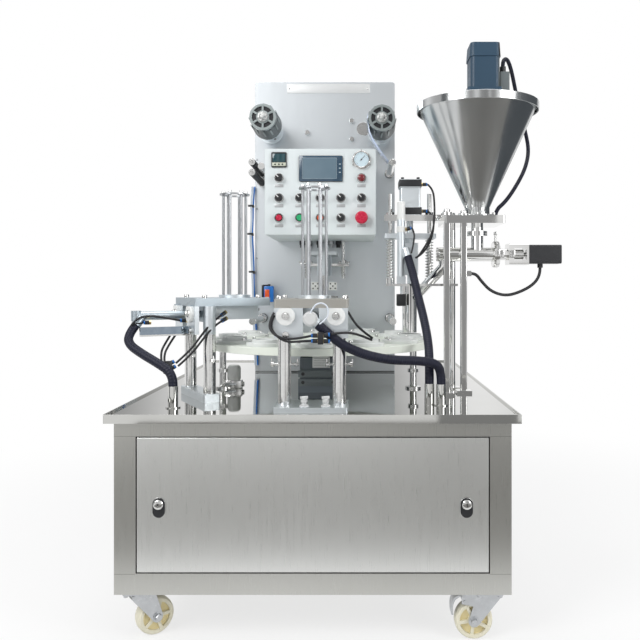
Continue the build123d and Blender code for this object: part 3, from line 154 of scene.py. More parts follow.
# %% The five hoses
HOSE_RADIUS, CONDUIT_RADIUS, LEAD_RADIUS = 0.012, 0.006, 0.0045
left_points = from_tray(
    (-369, 130, 619), (-369, 130, 651), (-412, 146, 676), (-462, 166, 700), (-500, 184, 722),
    (-507, 197, 746), (-491, 211, 772),
)
centre_points = from_tray(
    (10, 56, 782), (38, 54, 758), (74, 62, 729), (128, 84, 704), (196, 110, 688), (262, 132, 685),
    (314, 148, 677), (330, 170, 651), (330, 170, 619),
)
right_points = from_tray(
    (259, 421, 966), (269, 408, 932), (283, 360, 856), (298, 298, 778), (304, 238, 716), (300, 180, 668),
    (300, 180, 619),
)
conduit_points = from_tray(
    (545, 430, 1537), (545, 430, 1556), (560, 445, 1568), (578, 470, 1545), (600, 510, 1490),
    (622, 548, 1430), (645, 566, 1370), (654, 558, 1308), (636, 530, 1248), (600, 488, 1190),
    (560, 456, 1136), (524, 438, 1106), (524, 438, 1083),
)
servo_points = from_tray(
    (657, 430, 933), (657, 430, 912), (638, 427, 884), (600, 423, 862), (552, 417, 848), (505, 408, 862),
    (474, 399, 894), (458, 394, 915), (444, 394, 915),
)
hoses = {
    "left_hose": lay_cord("left_hose_wrap", left_points, HOSE_RADIUS, replaces="left_hose"),
    "centre_hose": lay_cord("centre_hose_wrap", centre_points, HOSE_RADIUS, replaces="centre_hose"),
    "right_hose": lay_cord("right_hose_wrap", right_points, HOSE_RADIUS, replaces="right_hose"),
    "agitator_hose": lay_cord("motor_conduit", conduit_points, CONDUIT_RADIUS, replaces="agitator_hose"),
    "servo_cable": lay_cord("servo_lead", servo_points, LEAD_RADIUS, replaces="servo_cable"),
}
for name, (piece, length) in hoses.items():
    print(name, round(length, 3), "m")

# %% [markdown]
# ## Finishes
# Almost everything here is bare metal, and bare metal shows mostly what it reflects. What makes brushed,
# polished and blasted steel look different is how their roughness varies: long fine strokes for a brush,
# faint waves for a mirror, a fine even grain for a blasted casting. So each finish drives roughness and
# bump from its own noise, laid on the object's own coordinates so that it never slides.


# %% A finish with strokes, grain or waves
def finish(name, colour, metallic, rough, scale, bump=0.0, depth=0.0003, tone=None, cloud=6.0, coat=0.0):
    """Principled shader whose roughness runs between two values along a stretched noise. A second tone
    comes and goes in soft clouds, as handling and polishing leave them."""
    made = bpy.data.materials.new(name)
    made.use_nodes = True
    nodes, links = made.node_tree.nodes, made.node_tree.links
    shader = nodes["Principled BSDF"]
    place = nodes.new("ShaderNodeTexCoord")
    stretch = nodes.new("ShaderNodeMapping")
    stretch.inputs["Scale"].default_value = scale
    links.new(place.outputs["Object"], stretch.inputs["Vector"])
    grain = nodes.new("ShaderNodeTexNoise")
    grain.inputs["Scale"].default_value = 1.0
    grain.inputs["Detail"].default_value = 3.0
    links.new(stretch.outputs["Vector"], grain.inputs["Vector"])
    spread = nodes.new("ShaderNodeMapRange")
    spread.inputs["From Min"].default_value = 0.3
    spread.inputs["From Max"].default_value = 0.7
    spread.inputs["To Min"].default_value = rough[0]
    spread.inputs["To Max"].default_value = rough[1]
    links.new(grain.outputs["Fac"], spread.inputs["Value"])
    links.new(spread.outputs["Result"], shader.inputs["Roughness"])
    cloudy = nodes.new("ShaderNodeTexNoise")
    cloudy.inputs["Scale"].default_value = cloud
    cloudy.inputs["Detail"].default_value = 4.0
    links.new(place.outputs["Object"], cloudy.inputs["Vector"])
    blend = nodes.new("ShaderNodeMix")
    blend.data_type = "RGBA"
    blend.inputs["A"].default_value = (*colour, 1)
    blend.inputs["B"].default_value = (*(tone or [c * 0.86 for c in colour]), 1)
    links.new(cloudy.outputs["Fac"], blend.inputs["Factor"])
    links.new(blend.outputs["Result"], shader.inputs["Base Color"])
    shader.inputs["Metallic"].default_value = metallic
    shader.inputs["Coat Weight"].default_value = coat
    if bump:
        raised = nodes.new("ShaderNodeBump")
        raised.inputs["Strength"].default_value = bump
        raised.inputs["Distance"].default_value = depth
        links.new(grain.outputs["Fac"], raised.inputs["Height"])
        links.new(raised.outputs["Normal"], shader.inputs["Normal"])
    return made


# %% [markdown]
# ### Metals
# The cabinet and the board are brushed sheet, the tray and the tower are mirror polished, and the
# station plates are aluminium with a fine satin grain. The brush's strokes run upright, which is done by
# stretching the noise along Z: it changes fast from side to side and slowly going up.

# %% Metals
door_steel = finish("door_steel", (0.90, 0.91, 0.895), 1.0, (0.27, 0.36), (1600, 1600, 14), bump=0.015,
                    tone=(0.84, 0.85, 0.83), cloud=3.0)
cabinet_steel = finish("cabinet_steel", (0.60, 0.60, 0.575), 1.0, (0.27, 0.36), (1600, 1600, 14),
                       bump=0.015, tone=(0.53, 0.53, 0.50), cloud=3.0)
board_steel = finish("board_steel", (0.70, 0.735, 0.76), 1.0, (0.30, 0.40), (1600, 1600, 10), bump=0.015,
                     tone=(0.62, 0.655, 0.68), cloud=4.0)
mirror_steel = finish("mirror_steel", (0.80, 0.80, 0.79), 1.0, (0.03, 0.09), (9, 9, 9), bump=0.04,
                      depth=0.002, tone=(0.74, 0.74, 0.73))
tray_mirror = finish("tray_mirror", (0.62, 0.62, 0.60), 1.0, (0.02, 0.06), (5, 5, 5), bump=0.02,
                     depth=0.002, tone=(0.52, 0.52, 0.50))
turned_steel = finish("turned_steel", (0.74, 0.74, 0.73), 1.0, (0.10, 0.20), (30, 30, 700), bump=0.04)
satin_aluminium = finish("satin_aluminium", (0.80, 0.85, 0.88), 1.0, (0.34, 0.50), (90, 90, 420), bump=0.08,
                         tone=(0.70, 0.745, 0.775))
zinc_plate = finish("zinc_plate", (0.62, 0.64, 0.66), 1.0, (0.25, 0.50), (120, 120, 120), bump=0.08,
                    tone=(0.46, 0.47, 0.48), cloud=40)
cast_aluminium = finish("cast_aluminium", (0.62, 0.63, 0.62), 1.0, (0.40, 0.62), (260, 260, 260), bump=0.25)
blackened_steel = finish("blackened_steel", (0.035, 0.036, 0.04), 1.0, (0.30, 0.45), (200, 200, 200),
                         bump=0.05)
brass = finish("brass", (0.72, 0.56, 0.28), 1.0, (0.18, 0.32), (150, 150, 150))
print(len(bpy.data.materials), "finishes so far")

# %% [markdown]
# ### Paint, plastics and rubber
# Paint has a faint orange peel. Nylon wheels and discs are a warm, milky white. The dies and the table
# are white acetal with a greenish cast, and all black parts differ only in gloss and grain. All of them
# come from the same helper, so that the whole machine answers to light in one way.

# %% Paint, plastics and rubber
box_paint = finish("box_paint", (0.73, 0.78, 0.79), 0.0, (0.38, 0.50), (320, 320, 320), bump=0.05,
                   tone=(0.69, 0.745, 0.755))
motor_paint = finish("motor_paint", (0.024, 0.062, 0.105), 0.0, (0.35, 0.5), (300, 300, 300), bump=0.06,
                     tone=(0.018, 0.05, 0.088))
gearbox_paint = finish("gearbox_paint", (0.13, 0.155, 0.18), 0.0, (0.4, 0.6), (260, 260, 260), bump=0.1)
ivory_nylon = finish("ivory_nylon", (0.78, 0.75, 0.62), 0.0, (0.35, 0.5), (90, 90, 90), bump=0.05,
                     tone=(0.72, 0.68, 0.52), cloud=25)
white_nylon = finish("white_nylon", (0.80, 0.81, 0.80), 0.0, (0.30, 0.42), (90, 90, 90), bump=0.03,
                     tone=(0.76, 0.77, 0.76))
acetal = finish("acetal", (0.78, 0.80, 0.79), 0.0, (0.28, 0.40), (120, 120, 900), bump=0.03,
                tone=(0.74, 0.76, 0.74))
table_acetal = finish("table_acetal", (0.86, 0.90, 0.83), 0.0, (0.30, 0.45), (60, 60, 600), bump=0.03,
                      tone=(0.82, 0.86, 0.77))
black_plastic = finish("black_plastic", (0.018, 0.019, 0.022), 0.0, (0.32, 0.48), (350, 350, 350),
                       bump=0.06)
black_gloss = finish("black_gloss", (0.012, 0.013, 0.016), 0.0, (0.12, 0.22), (120, 120, 120), coat=0.3)
black_rubber = finish("black_rubber", (0.016, 0.016, 0.019), 0.0, (0.5, 0.7), (300, 300, 300), bump=0.1)
red_plastic = finish("red_plastic", (0.60, 0.012, 0.055), 0.0, (0.22, 0.32), (120, 120, 120), coat=0.2)
green_plastic = finish("green_plastic", (0.02, 0.42, 0.16), 0.0, (0.22, 0.32), (120, 120, 120), coat=0.2)
orange_plastic = finish("orange_plastic", (0.75, 0.10, 0.02), 0.0, (0.22, 0.32), (120, 120, 120), coat=0.2)
maroon_lens = finish("maroon_lens", (0.20, 0.012, 0.02), 0.0, (0.15, 0.25), (120, 120, 120), coat=0.4)
blue_plastic = finish("blue_plastic", (0.01, 0.16, 0.55), 0.0, (0.28, 0.4), (150, 150, 150))
plate_grey = finish("plate_grey", (0.50, 0.51, 0.52), 0.6, (0.35, 0.5), (200, 30, 30), bump=0.03)
plate_white = finish("plate_white", (0.70, 0.71, 0.71), 0.3, (0.35, 0.5), (200, 30, 30), bump=0.03)
print(len(bpy.data.materials), "finishes so far")


# %% [markdown]
# ### Spiral wrap
# The heavy hoses are wound with a flat black tape. Modelling each turn would take thousands of faces,
# so the turns are raised by a bump. A curve's texture map runs from 0 to 1 along its length and round its
# section, so a diagonal wave over the two winds round the hose as the tape does.

# %% Spiral wrap material
TAPE_BLACK = (0.006, 0.007, 0.017)
TAPE_THICKNESS = 0.0012


def spiral_wrap(name, length, pitch):
    """Tape wound about a hose of a given length, with one turn to each pitch."""
    made = bpy.data.materials.new(name)
    made.use_nodes = True
    nodes, links = made.node_tree.nodes, made.node_tree.links
    shader = nodes["Principled BSDF"]
    place = nodes.new("ShaderNodeTexCoord")
    turn = nodes.new("ShaderNodeMapping")
    turn.inputs["Scale"].default_value = (length / pitch, 1, 1)
    wind = nodes.new("ShaderNodeTexWave")
    wind.wave_type = "BANDS"
    wind.bands_direction = "DIAGONAL"
    wind.wave_profile = "SIN"
    wind.inputs["Scale"].default_value = 0.53
    wear = nodes.new("ShaderNodeTexNoise")
    wear.inputs["Scale"].default_value = 70
    shade = nodes.new("ShaderNodeMix")
    shade.data_type = "RGBA"
    shade.inputs["A"].default_value = (*TAPE_BLACK, 1)
    shade.inputs["B"].default_value = (*[c * 1.9 + 0.002 for c in TAPE_BLACK], 1)
    shader.inputs["Specular IOR Level"].default_value = 0.3
    gloss = nodes.new("ShaderNodeMapRange")
    gloss.inputs["To Min"].default_value = 0.36
    gloss.inputs["To Max"].default_value = 0.58
    raised = nodes.new("ShaderNodeBump")
    raised.inputs["Strength"].default_value = 0.5
    raised.inputs["Distance"].default_value = TAPE_THICKNESS
    links.new(place.outputs["UV"], turn.inputs["Vector"])
    links.new(turn.outputs["Vector"], wind.inputs["Vector"])
    links.new(place.outputs["Object"], wear.inputs["Vector"])
    links.new(wear.outputs["Fac"], shade.inputs["Factor"])
    links.new(wear.outputs["Fac"], gloss.inputs["Value"])
    links.new(shade.outputs["Result"], shader.inputs["Base Color"])
    links.new(gloss.outputs["Result"], shader.inputs["Roughness"])
    links.new(wind.outputs["Fac"], raised.inputs["Height"])
    links.new(raised.outputs["Normal"], shader.inputs["Normal"])
    return made


PITCHES = {"left_hose": 0.006, "centre_hose": 0.0045, "right_hose": 0.006, "agitator_hose": 0.004}
for name, pitch in PITCHES.items():
    piece, length = hoses[name]
    piece.data.materials.append(spiral_wrap(name + "_wrap", length, pitch))
hoses["servo_cable"][0].data.materials.append(black_rubber)
print(len(PITCHES), "hoses wrapped")

# %% [markdown]
# ## Dressing the CAD solids
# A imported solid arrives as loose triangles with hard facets. A copy of each is welded and its flat
# triangles dissolved, so that faces are whole again. Then curved walls shade smooth, and a narrow bevel
# catches the light along every edge, which is what tells the eye that metal is cut and not paper-thin.


# %% Dress a node
def paint_zones(bm, zones):
    """Gives each zone's faces its material slot. Slot 0 is the node's own material."""
    for slot, (zone_material, test) in enumerate(zones, 1):
        for face in bm.faces:
            if test(face.calc_center_median()):
                face.material_index = slot


def dress(node, material, edge, zones=(), cuts=()):
    """Smooth copy of a CAD node with a bevel of the given width. Each zone is a material and a test on a
    face's centre. A cut is a height at which faces are split, so that a zone may end there."""
    source = frame["nodes"][node]
    bm = bmesh.new()
    bm.from_mesh(source.data)
    bmesh.ops.remove_doubles(bm, verts=bm.verts, dist=1e-5)
    for height in cuts:
        bmesh.ops.bisect_plane(bm, geom=bm.verts[:] + bm.edges[:] + bm.faces[:], plane_co=(0, 0, height),
                               plane_no=(0, 0, 1))
    mesh = bpy.data.meshes.new(node + "_skin")
    for skin in (material, *[zone_material for zone_material, test in zones]):
        mesh.materials.append(skin)
    if cuts:
        paint_zones(bm, zones)
    bmesh.ops.dissolve_limit(bm, angle_limit=radians(0.4), verts=bm.verts, edges=bm.edges,
                             delimit={"MATERIAL"})
    if not cuts:
        paint_zones(bm, zones)
    for face in bm.faces:
        face.smooth = True
    bm.to_mesh(mesh)
    bm.free()
    mesh.set_sharp_from_angle(angle=radians(32))
    piece = bpy.data.objects.new(node + "_skin", mesh)
    scene.collection.objects.link(piece)
    bevel = piece.modifiers.new("edge", "BEVEL")
    bevel.width = edge
    bevel.segments = 2
    bevel.limit_method = "ANGLE"
    bevel.angle_limit = radians(40)
    even = piece.modifiers.new("even", "WEIGHTED_NORMAL")
    even.keep_sharp = True
    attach(piece, source["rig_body"])
    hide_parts(node)
    print(node, "dressed in", material.name, "with", len(mesh.polygons), "faces")


# %% Cabinet, tray and board
CAB_FRONT = -0.6185      # front face of the cabinet and its door
CAB_FOOT = 0.125         # below it are the castors' plates
HOUSING_TOP = 0.40       # the lock housings stand in front of the door, below this height
dress("cabinet_frame", cabinet_steel, 0.001, [(zinc_plate, lambda c: c.z < CAB_FOOT - 0.0001)])
dress("front_door", door_steel, 0.001,
      [(black_plastic, lambda c: c.y < CAB_FRONT - 0.0002 and c.z < HOUSING_TOP)])
for side in ("left", "right"):
    dress("door_lock_" + side, mirror_steel, 0.0004)
    dress("castor_fork_" + side, zinc_plate, 0.0005)
dress("work_tray", tray_mirror, 0.0008)
dress("brake_pedal", zinc_plate, 0.0006)
dress("back_board", board_steel, 0.001)

# %% Control box and its instruments
dress("control_box", box_paint, 0.0015)
dress("touch_screen", black_gloss, 0.0008)
dress("temperature_controller", black_plastic, 0.0006)
dress("pressure_gauge", mirror_steel, 0.0008)
dress("switch_bezels", blackened_steel, 0.0006)
for node in frame["nodes"]:
    if node.startswith("selector"):
        dress(node, black_plastic, 0.0008)
dress("red_button", red_plastic, 0.0005)
dress("green_button", green_plastic, 0.0005)
dress("orange_button", orange_plastic, 0.0005)
dress("emergency_stop", red_plastic, 0.0005)

# %% Film path
dress("film_spindles", turned_steel, 0.0006)
for side in ("left", "right"):
    dress("film_reel_" + side, satin_aluminium, 0.0005)
for roller in ("drive", "pinch"):
    dress("film_" + roller + "_roller", black_rubber, 0.0006)
dress("film_guide_roller", turned_steel, 0.0006)

# %% Turntable and stations
TURN = Vector((-0.113, -0.1415, 0))                            # the table's axis
STATIONS = {"capsule": radians(-90), "lid": radians(-150)}     # where each station faces
BASE_TOP = {"capsule": 0.5763, "lid": 0.5853}                  # top of the foot bar under the columns
FRONT_PLATE = 0.4252                                           # from the table's axis to the front plates
COLUMN_TOP, TOP_PLATE, ROD_FOOT = 0.7465, 0.8230, 0.8535       # heights where one finish meets the next
DISC_FOOT, STRIP_TOP = 0.77, 0.7725                            # the white discs, and the strip under them
LEFT_CYLINDER = -0.40                                          # the lid station's cylinder lies left of it
warm_alu = finish("warm_alu", (0.43, 0.415, 0.375), 0.9, (0.34, 0.46), (700, 700, 30), bump=0.03,
                  tone=(0.48, 0.47, 0.44))
milled_alu = finish("milled_alu", (0.40, 0.46, 0.50), 0.9, (0.34, 0.46), (700, 700, 30), bump=0.03,
                    tone=(0.50, 0.56, 0.60))
dark_mirror = finish("dark_mirror", (0.34, 0.40, 0.45), 1.0, (0.04, 0.10), (12, 12, 12),
                     tone=(0.16, 0.20, 0.26), cloud=45)
rod_steel = finish("rod_steel", (0.42, 0.435, 0.455), 1.0, (0.26, 0.36), (300, 300, 20), bump=0.03,
                   tone=(0.50, 0.515, 0.53))
dress("turntable", table_acetal, 0.001)
dress("capsule_dies", acetal, 0.0008)
dress("indexer_box", gearbox_paint, 0.0012)
for station, heading in STATIONS.items():
    out = Vector((cos(heading), sin(heading), 0))
    base = BASE_TOP[station]
    dress(station + "_station_frame", satin_aluminium, 0.0008, [
        (warm_alu if station == "capsule" else milled_alu, lambda c: c.z > TOP_PLATE - 0.0001),
        (turned_steel, lambda c: base < c.z < COLUMN_TOP),
        (white_nylon, lambda c: (c - TURN).dot(out) > FRONT_PLATE and DISC_FOOT < c.z < TOP_PLATE - 0.0001),
        (dark_mirror, lambda c: (c - TURN).dot(out) > FRONT_PLATE and COLUMN_TOP < c.z < STRIP_TOP),
    ], cuts=(base, COLUMN_TOP, TOP_PLATE))
    dress(station + "_separator", turned_steel, 0.0005)
dress("capsule_magazines", rod_steel, 0.0004, [(satin_aluminium, lambda c: c.z < ROD_FOOT)],
      cuts=(ROD_FOOT,))
dress("air_cylinders", satin_aluminium, 0.0008, [(milled_alu, lambda c: c.x < LEFT_CYLINDER)])
dress("heat_seal_head", turned_steel, 0.0006)

# %% Filling tower
TERMINAL_LEFT, TERMINAL_LID = 0.4190, 1.5140     # left side and lid of the motor's terminal box
dress("tower_frame", mirror_steel, 0.0008)
dress("tamper_carriage", satin_aluminium, 0.0008)
cone_steel = finish("cone_steel", (0.66, 0.665, 0.66), 1.0, (0.12, 0.22), (14, 14, 3),
                    tone=(0.52, 0.54, 0.55), cloud=9)
terminal_grey = finish("terminal_grey", (0.13, 0.15, 0.155), 0.0, (0.4, 0.6), (260, 260, 260), bump=0.1)
dress("hopper", cone_steel, 0.0006)
dress("hopper_lid", cone_steel, 0.0008)
dress("agitator_motor", motor_paint, 0.0015, [
    (terminal_grey, lambda c: c.x > TERMINAL_LEFT),
    (black_plastic, lambda c: c.x > TERMINAL_LEFT and c.z > TERMINAL_LID),
])
dress("agitator", turned_steel, 0.0005)
dress("auger_tube", mirror_steel, 0.0006)
dress("auger_screw", turned_steel, 0.0004)
dress("servo_motor", black_plastic, 0.001)

# %% [markdown]
# ## Tools for the small parts
# Almost every small part of a machine is turned on a lathe, sawn from bar or cut from plate. So three
# helpers do most of the work: one spins a profile about an axis, one puts a bevelled block in place, and
# one turns a finished shape into an object that rides on a body.

# %% Shape helpers
UP = (0, 0, 1)
FRONT = (0, -1, 0)


def turned(bm, profile, at, along, steps, material=0):
    """A lathe: pairs of radius and height, spun about an axis through a point."""
    at, along = Vector(at), Vector(along).normalized()
    across = along.orthogonal().normalized()
    before = set(bm.faces)
    verts = [bm.verts.new(at + across * radius + along * height) for radius, height in profile]
    edges = [bm.edges.new(pair) for pair in zip(verts, verts[1:])]
    bmesh.ops.spin(bm, geom=verts + edges, cent=at, axis=along, dvec=(0, 0, 0), angle=2 * pi, steps=steps,
                   use_merge=True, use_duplicate=False)
    for face in set(bm.faces) - before:
        face.material_index = material


def rod(bm, start, end, radius, steps=20):
    """A plain round bar between two points."""
    start, end = Vector(start), Vector(end)
    length = (end - start).length
    turned(bm, [(0, 0), (radius, 0), (radius, length), (0, length)], start, end - start, steps)


def block(bm, centre, size, turn=0.0, tilt=(0, 0, 0), soft=0.0, material=0):
    """A block of the given size, turned about the upright axis, with its edges softened."""
    before = set(bm.faces)
    verts = bmesh.ops.create_cube(bm, size=1.0)["verts"]
    bmesh.ops.scale(bm, vec=size, verts=verts)
    if soft:
        edges = list({edge for vert in verts for edge in vert.link_edges})
        bmesh.ops.bevel(bm, geom=edges, offset=soft, segments=2, affect="EDGES", profile=0.5, material=-1)
    faces = set(bm.faces) - before
    verts = list({vert for face in faces for vert in face.verts})
    place = Matrix.Translation(centre) @ Matrix.Rotation(turn, 4, "Z")
    for axis, angle in zip("XYZ", tilt):
        place = place @ Matrix.Rotation(angle, 4, axis)
    bmesh.ops.transform(bm, matrix=place, verts=verts)
    for face in faces:
        face.material_index = material


def screw(bm, at, outward, radius, height=None):
    """Cap screw: a round head with its socket."""
    height = height or radius * 1.2
    turned(bm, [(0, height * 0.45), (radius * 0.5, height * 0.45), (radius * 0.5, height),
                (radius * 0.88, height), (radius, height * 0.86), (radius, 0), (0, 0)], at, outward, 18)


def dome_screw(bm, at, outward, radius):
    """Button-head screw."""
    turned(bm, [(0, radius * 0.35), (radius * 0.4, radius * 0.35), (radius * 0.42, radius * 0.62),
                (radius * 0.75, radius * 0.5), (radius, radius * 0.12), (radius, 0), (0, 0)], at, outward,
           18)


def place_piece(bm, name, materials, body="machine", replaces=(), sharp=32):
    """Welds the shape, turns its faces outwards, shades it and rides it on a body."""
    bmesh.ops.remove_doubles(bm, verts=bm.verts, dist=2e-6)
    bmesh.ops.dissolve_degenerate(bm, edges=bm.edges, dist=1e-7)
    bmesh.ops.recalc_face_normals(bm, faces=bm.faces)
    for face in bm.faces:
        face.smooth = True
    mesh = bpy.data.meshes.new(name)
    bm.to_mesh(mesh)
    bm.free()
    for material in materials if isinstance(materials, (list, tuple)) else [materials]:
        mesh.materials.append(material)
    mesh.set_sharp_from_angle(angle=radians(sharp))
    piece = bpy.data.objects.new(name, mesh)
    scene.collection.objects.link(piece)
    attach(piece, body)
    if replaces:
        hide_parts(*replaces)
    print(name, "with", len(mesh.polygons), "faces, rides on", body)
    return piece


# %% [markdown]
# ## The control box
# Eleven switches and a lamp stand in three rows, with a temperature controller, a touch screen and an
# air gauge above them. Each has a small plain plate below it, and all but the emergency stop have a
# bright ring. All rings are one mesh, because they share a finish and never move. Each pointer is a
# piece of its own, because it turns with its selector.

# %% Rings, pointers and plates
BOX_FACE = -0.1015
COLUMNS = [-0.2445, -0.1795, -0.1145, -0.0495, 0.0155]
ROWS = [1.093, 1.156, 1.219]
EMERGENCY_STOP = (4, 0)
switches = [(0, 2), (0, 1), (1, 1), (2, 1), (3, 1), (4, 1), (3, 0), (0, 0), (1, 0), (2, 0), (4, 0), (4, 2)]
bm = bmesh.new()
for column, row in switches:
    if (column, row) == EMERGENCY_STOP:
        continue
    at = (COLUMNS[column], BOX_FACE, ROWS[row])
    turned(bm, [(0.0118, 0.0052), (0.0125, 0.0060), (0.0140, 0.0058), (0.0147, 0.0040), (0.0149, 0.0),
                (0.0118, 0.0), (0.0118, 0.0052)], at, FRONT, 40)
place_piece(bm, "switch_rings", turned_steel)
bm = bmesh.new()
for column, row in switches:
    block(bm, (COLUMNS[column], BOX_FACE - 0.0005, ROWS[row] - 0.0245), (0.027, 0.001, 0.0095), soft=0.0003)
place_piece(bm, "switch_plates", plate_grey)

for name, column, row in (("top_left", 0, 2), ("middle_1", 0, 1), ("middle_2", 1, 1), ("middle_3", 2, 1),
                          ("middle_4", 3, 1), ("middle_5", 4, 1), ("bottom", 3, 0)):
    bm = bmesh.new()
    knob = (COLUMNS[column], BOX_FACE - 0.0235, ROWS[row])
    block(bm, (knob[0] - 0.0042, knob[1], knob[2] + 0.0042), (0.0108, 0.0012, 0.0026),
          tilt=(0, radians(45), 0))
    place_piece(bm, "pointer_" + name, white_nylon, body="selector_" + name)

# %% Button collars and lamp
bm = bmesh.new()
for column in (0, 1, 2):
    turned(bm, [(0.0102, 0.004), (0.0102, 0.0125), (0.0112, 0.0135), (0.0124, 0.0130), (0.0128, 0.004),
                (0.0102, 0.004)], (COLUMNS[column], BOX_FACE, ROWS[0]), FRONT, 36)
place_piece(bm, "button_collars", black_gloss)
bm = bmesh.new()
turned(bm, [(0, 0.0165), (0.004, 0.0162), (0.008, 0.0150), (0.0108, 0.0125), (0.0116, 0.009),
            (0.0116, 0.004), (0, 0.004)], (COLUMNS[4], BOX_FACE, ROWS[2]), FRONT, 36)
place_piece(bm, "lamp_lens", maroon_lens)

# %% [markdown]
# ### Screen, controller and gauge
# The screen is dark glass with a thin lit frame, and its window is brighter than its rim. The controller
# has a teal window over a cream strip with three keys. The gauge is a chromed ring with a pale dial, on
# which plain ticks and one dark hand are modelled rather than printed.

# %% Screen and controller
screen_rim = finish("screen_rim", (0.035, 0.075, 0.12), 0.0, (0.12, 0.2), (90, 90, 90), coat=0.5)
screen_glass = finish("screen_glass", (0.10, 0.16, 0.21), 0.0, (0.06, 0.12), (12, 12, 12),
                      tone=(0.16, 0.23, 0.28), cloud=14, coat=0.6)
screen_line = finish("screen_line", (0.42, 0.52, 0.58), 0.0, (0.2, 0.3), (90, 90, 90))
teal_window = finish("teal_window", (0.012, 0.06, 0.075), 0.0, (0.08, 0.15), (60, 60, 60), coat=0.5)
cream_plastic = finish("cream_plastic", (0.60, 0.63, 0.52), 0.0, (0.35, 0.45), (200, 200, 200))
SCREEN = (-0.1125, 1.248)
bm = bmesh.new()
block(bm, (SCREEN[0], BOX_FACE - 0.0055, SCREEN[1]), (0.136, 0.0016, 0.080), soft=0.0006)
block(bm, (SCREEN[0] - 0.004, BOX_FACE - 0.0066, SCREEN[1] + 0.001), (0.106, 0.0008, 0.064), material=1)
for x, z, w, h in ((0, 0.0335, 0.108, 0.0008), (0, -0.0315, 0.108, 0.0008), (-0.054, 0.001, 0.0008, 0.065),
                   (0.054, 0.001, 0.0008, 0.065)):
    block(bm, (SCREEN[0] - 0.004 + x, BOX_FACE - 0.0068, SCREEN[1] + z), (w, 0.0007, h), material=2)
for step in range(3):
    block(bm, (SCREEN[0] + 0.060, BOX_FACE - 0.0066, SCREEN[1] + 0.014 - 0.013 * step),
          (0.006, 0.0006, 0.003), material=2)
place_piece(bm, "screen_face", [screen_rim, screen_glass, screen_line])
THERMO = (-0.2445, 1.276)
bm = bmesh.new()
block(bm, (THERMO[0], BOX_FACE - 0.0054, THERMO[1] + 0.006), (0.040, 0.001, 0.026), soft=0.0004)
block(bm, (THERMO[0], BOX_FACE - 0.0055, THERMO[1] - 0.0145), (0.043, 0.0014, 0.011), soft=0.0005,
      material=1)
for x in (-0.012, 0.0, 0.011):
    turned(bm, [(0, 0.0016), (0.0022, 0.0014), (0.0028, 0), (0, 0)],
           (THERMO[0] + x, BOX_FACE - 0.0062, THERMO[1] - 0.0145), FRONT, 20, material=2)
place_piece(bm, "controller_face", [teal_window, cream_plastic, black_gloss])

# %% Gauge
GAUGE = (0.0155, BOX_FACE, 1.276)
dial_paint = finish("dial_paint", (0.62, 0.76, 0.83), 0.0, (0.3, 0.4), (60, 60, 60),
                    tone=(0.66, 0.78, 0.84))
dark_ink = finish("dark_ink", (0.02, 0.025, 0.05), 0.0, (0.4, 0.5), (200, 200, 200))
bm = bmesh.new()
turned(bm, [(0.0225, 0.0075), (0.0232, 0.0100), (0.0250, 0.0112), (0.0268, 0.0102), (0.0276, 0.0070),
            (0.0281, 0.0008), (0.0300, 0.0004), (0.0300, 0.0), (0.0225, 0.0), (0.0225, 0.0075)], GAUGE,
       FRONT, 48)
for angle in (90, 210, 330):
    x, z = cos(radians(angle)) * 0.0295, sin(radians(angle)) * 0.0295
    turned(bm, [(0, 0.003), (0.0032, 0.003), (0.0038, 0.0), (0, 0)],
           (GAUGE[0] + x, GAUGE[1], GAUGE[2] + z), FRONT, 16)
place_piece(bm, "gauge_ring", turned_steel)
bm = bmesh.new()
turned(bm, [(0.0001, 0.0098), (0.0226, 0.0098), (0.0226, 0.0088), (0.0001, 0.0088), (0.0001, 0.0098)],
       GAUGE, FRONT, 48)
for step in range(21):
    angle = radians(225 - step * 13.5)
    reach, size = (0.0182, 0.0044) if step % 5 == 0 else (0.0192, 0.0024)
    block(bm, (GAUGE[0] + cos(angle) * reach, GAUGE[1] - 0.0099, GAUGE[2] + sin(angle) * reach),
          (size, 0.0003, 0.0006), tilt=(0, -angle, 0), material=1)
hand = radians(48)
block(bm, (GAUGE[0] + cos(hand) * 0.004, GAUGE[1] - 0.0104, GAUGE[2] + sin(hand) * 0.004),
      (0.024, 0.0005, 0.0012), tilt=(0, -hand, 0), material=1)
turned(bm, [(0.0001, 0.0112), (0.0020, 0.0110), (0.0026, 0.0098), (0.0001, 0.0098), (0.0001, 0.0112)],
       GAUGE, FRONT, 20, material=1)
place_piece(bm, "gauge_dial", [dial_paint, dark_ink])

# %% [markdown]
# ## The board
# A folded stainless box carries the film path. Its front has a plain white plate, cap screws and one
# round cover. A plate could be a change of colour on the sheet, but a thin block throws a small shadow
# and catches light on its edge, as a riveted plate does.

# %% Plates and screws on the board
BOARD = 0.2615      # front face of the board
NAME_PLATE_Z = 1.6005
bm = bmesh.new()
block(bm, (-0.104, BOARD - 0.0006, NAME_PLATE_Z), (0.304, 0.0012, 0.034), soft=0.0004)
place_piece(bm, "name_plate", plate_white)
bm = bmesh.new()
for x in (-0.247, 0.039):
    dome_screw(bm, (x, BOARD - 0.0012, NAME_PLATE_Z), FRONT, 0.003)
for x, z in ((-0.181, 1.438), (-0.019, 1.481), (-0.019, 1.414)):
    turned(bm, [(0, 0.010), (0.0042, 0.010), (0.0042, 0.012), (0.0078, 0.012), (0.0092, 0.009),
                (0.0095, 0.0), (0, 0.0)], (x, BOARD, z), FRONT, 24)
turned(bm, [(0, 0.0025), (0.024, 0.0025), (0.025, 0.0015), (0.025, 0), (0, 0)], (0.024, BOARD, 1.453),
       FRONT, 40)
place_piece(bm, "board_screws", turned_steel)
bm = bmesh.new()
for z in (0.62, 0.80, 0.98, 1.16, 1.34, 1.52):
    for x in (-0.366, 0.132):
        dome_screw(bm, (x, BOARD, z), FRONT, 0.0035)
place_piece(bm, "board_edge_screws", zinc_plate)
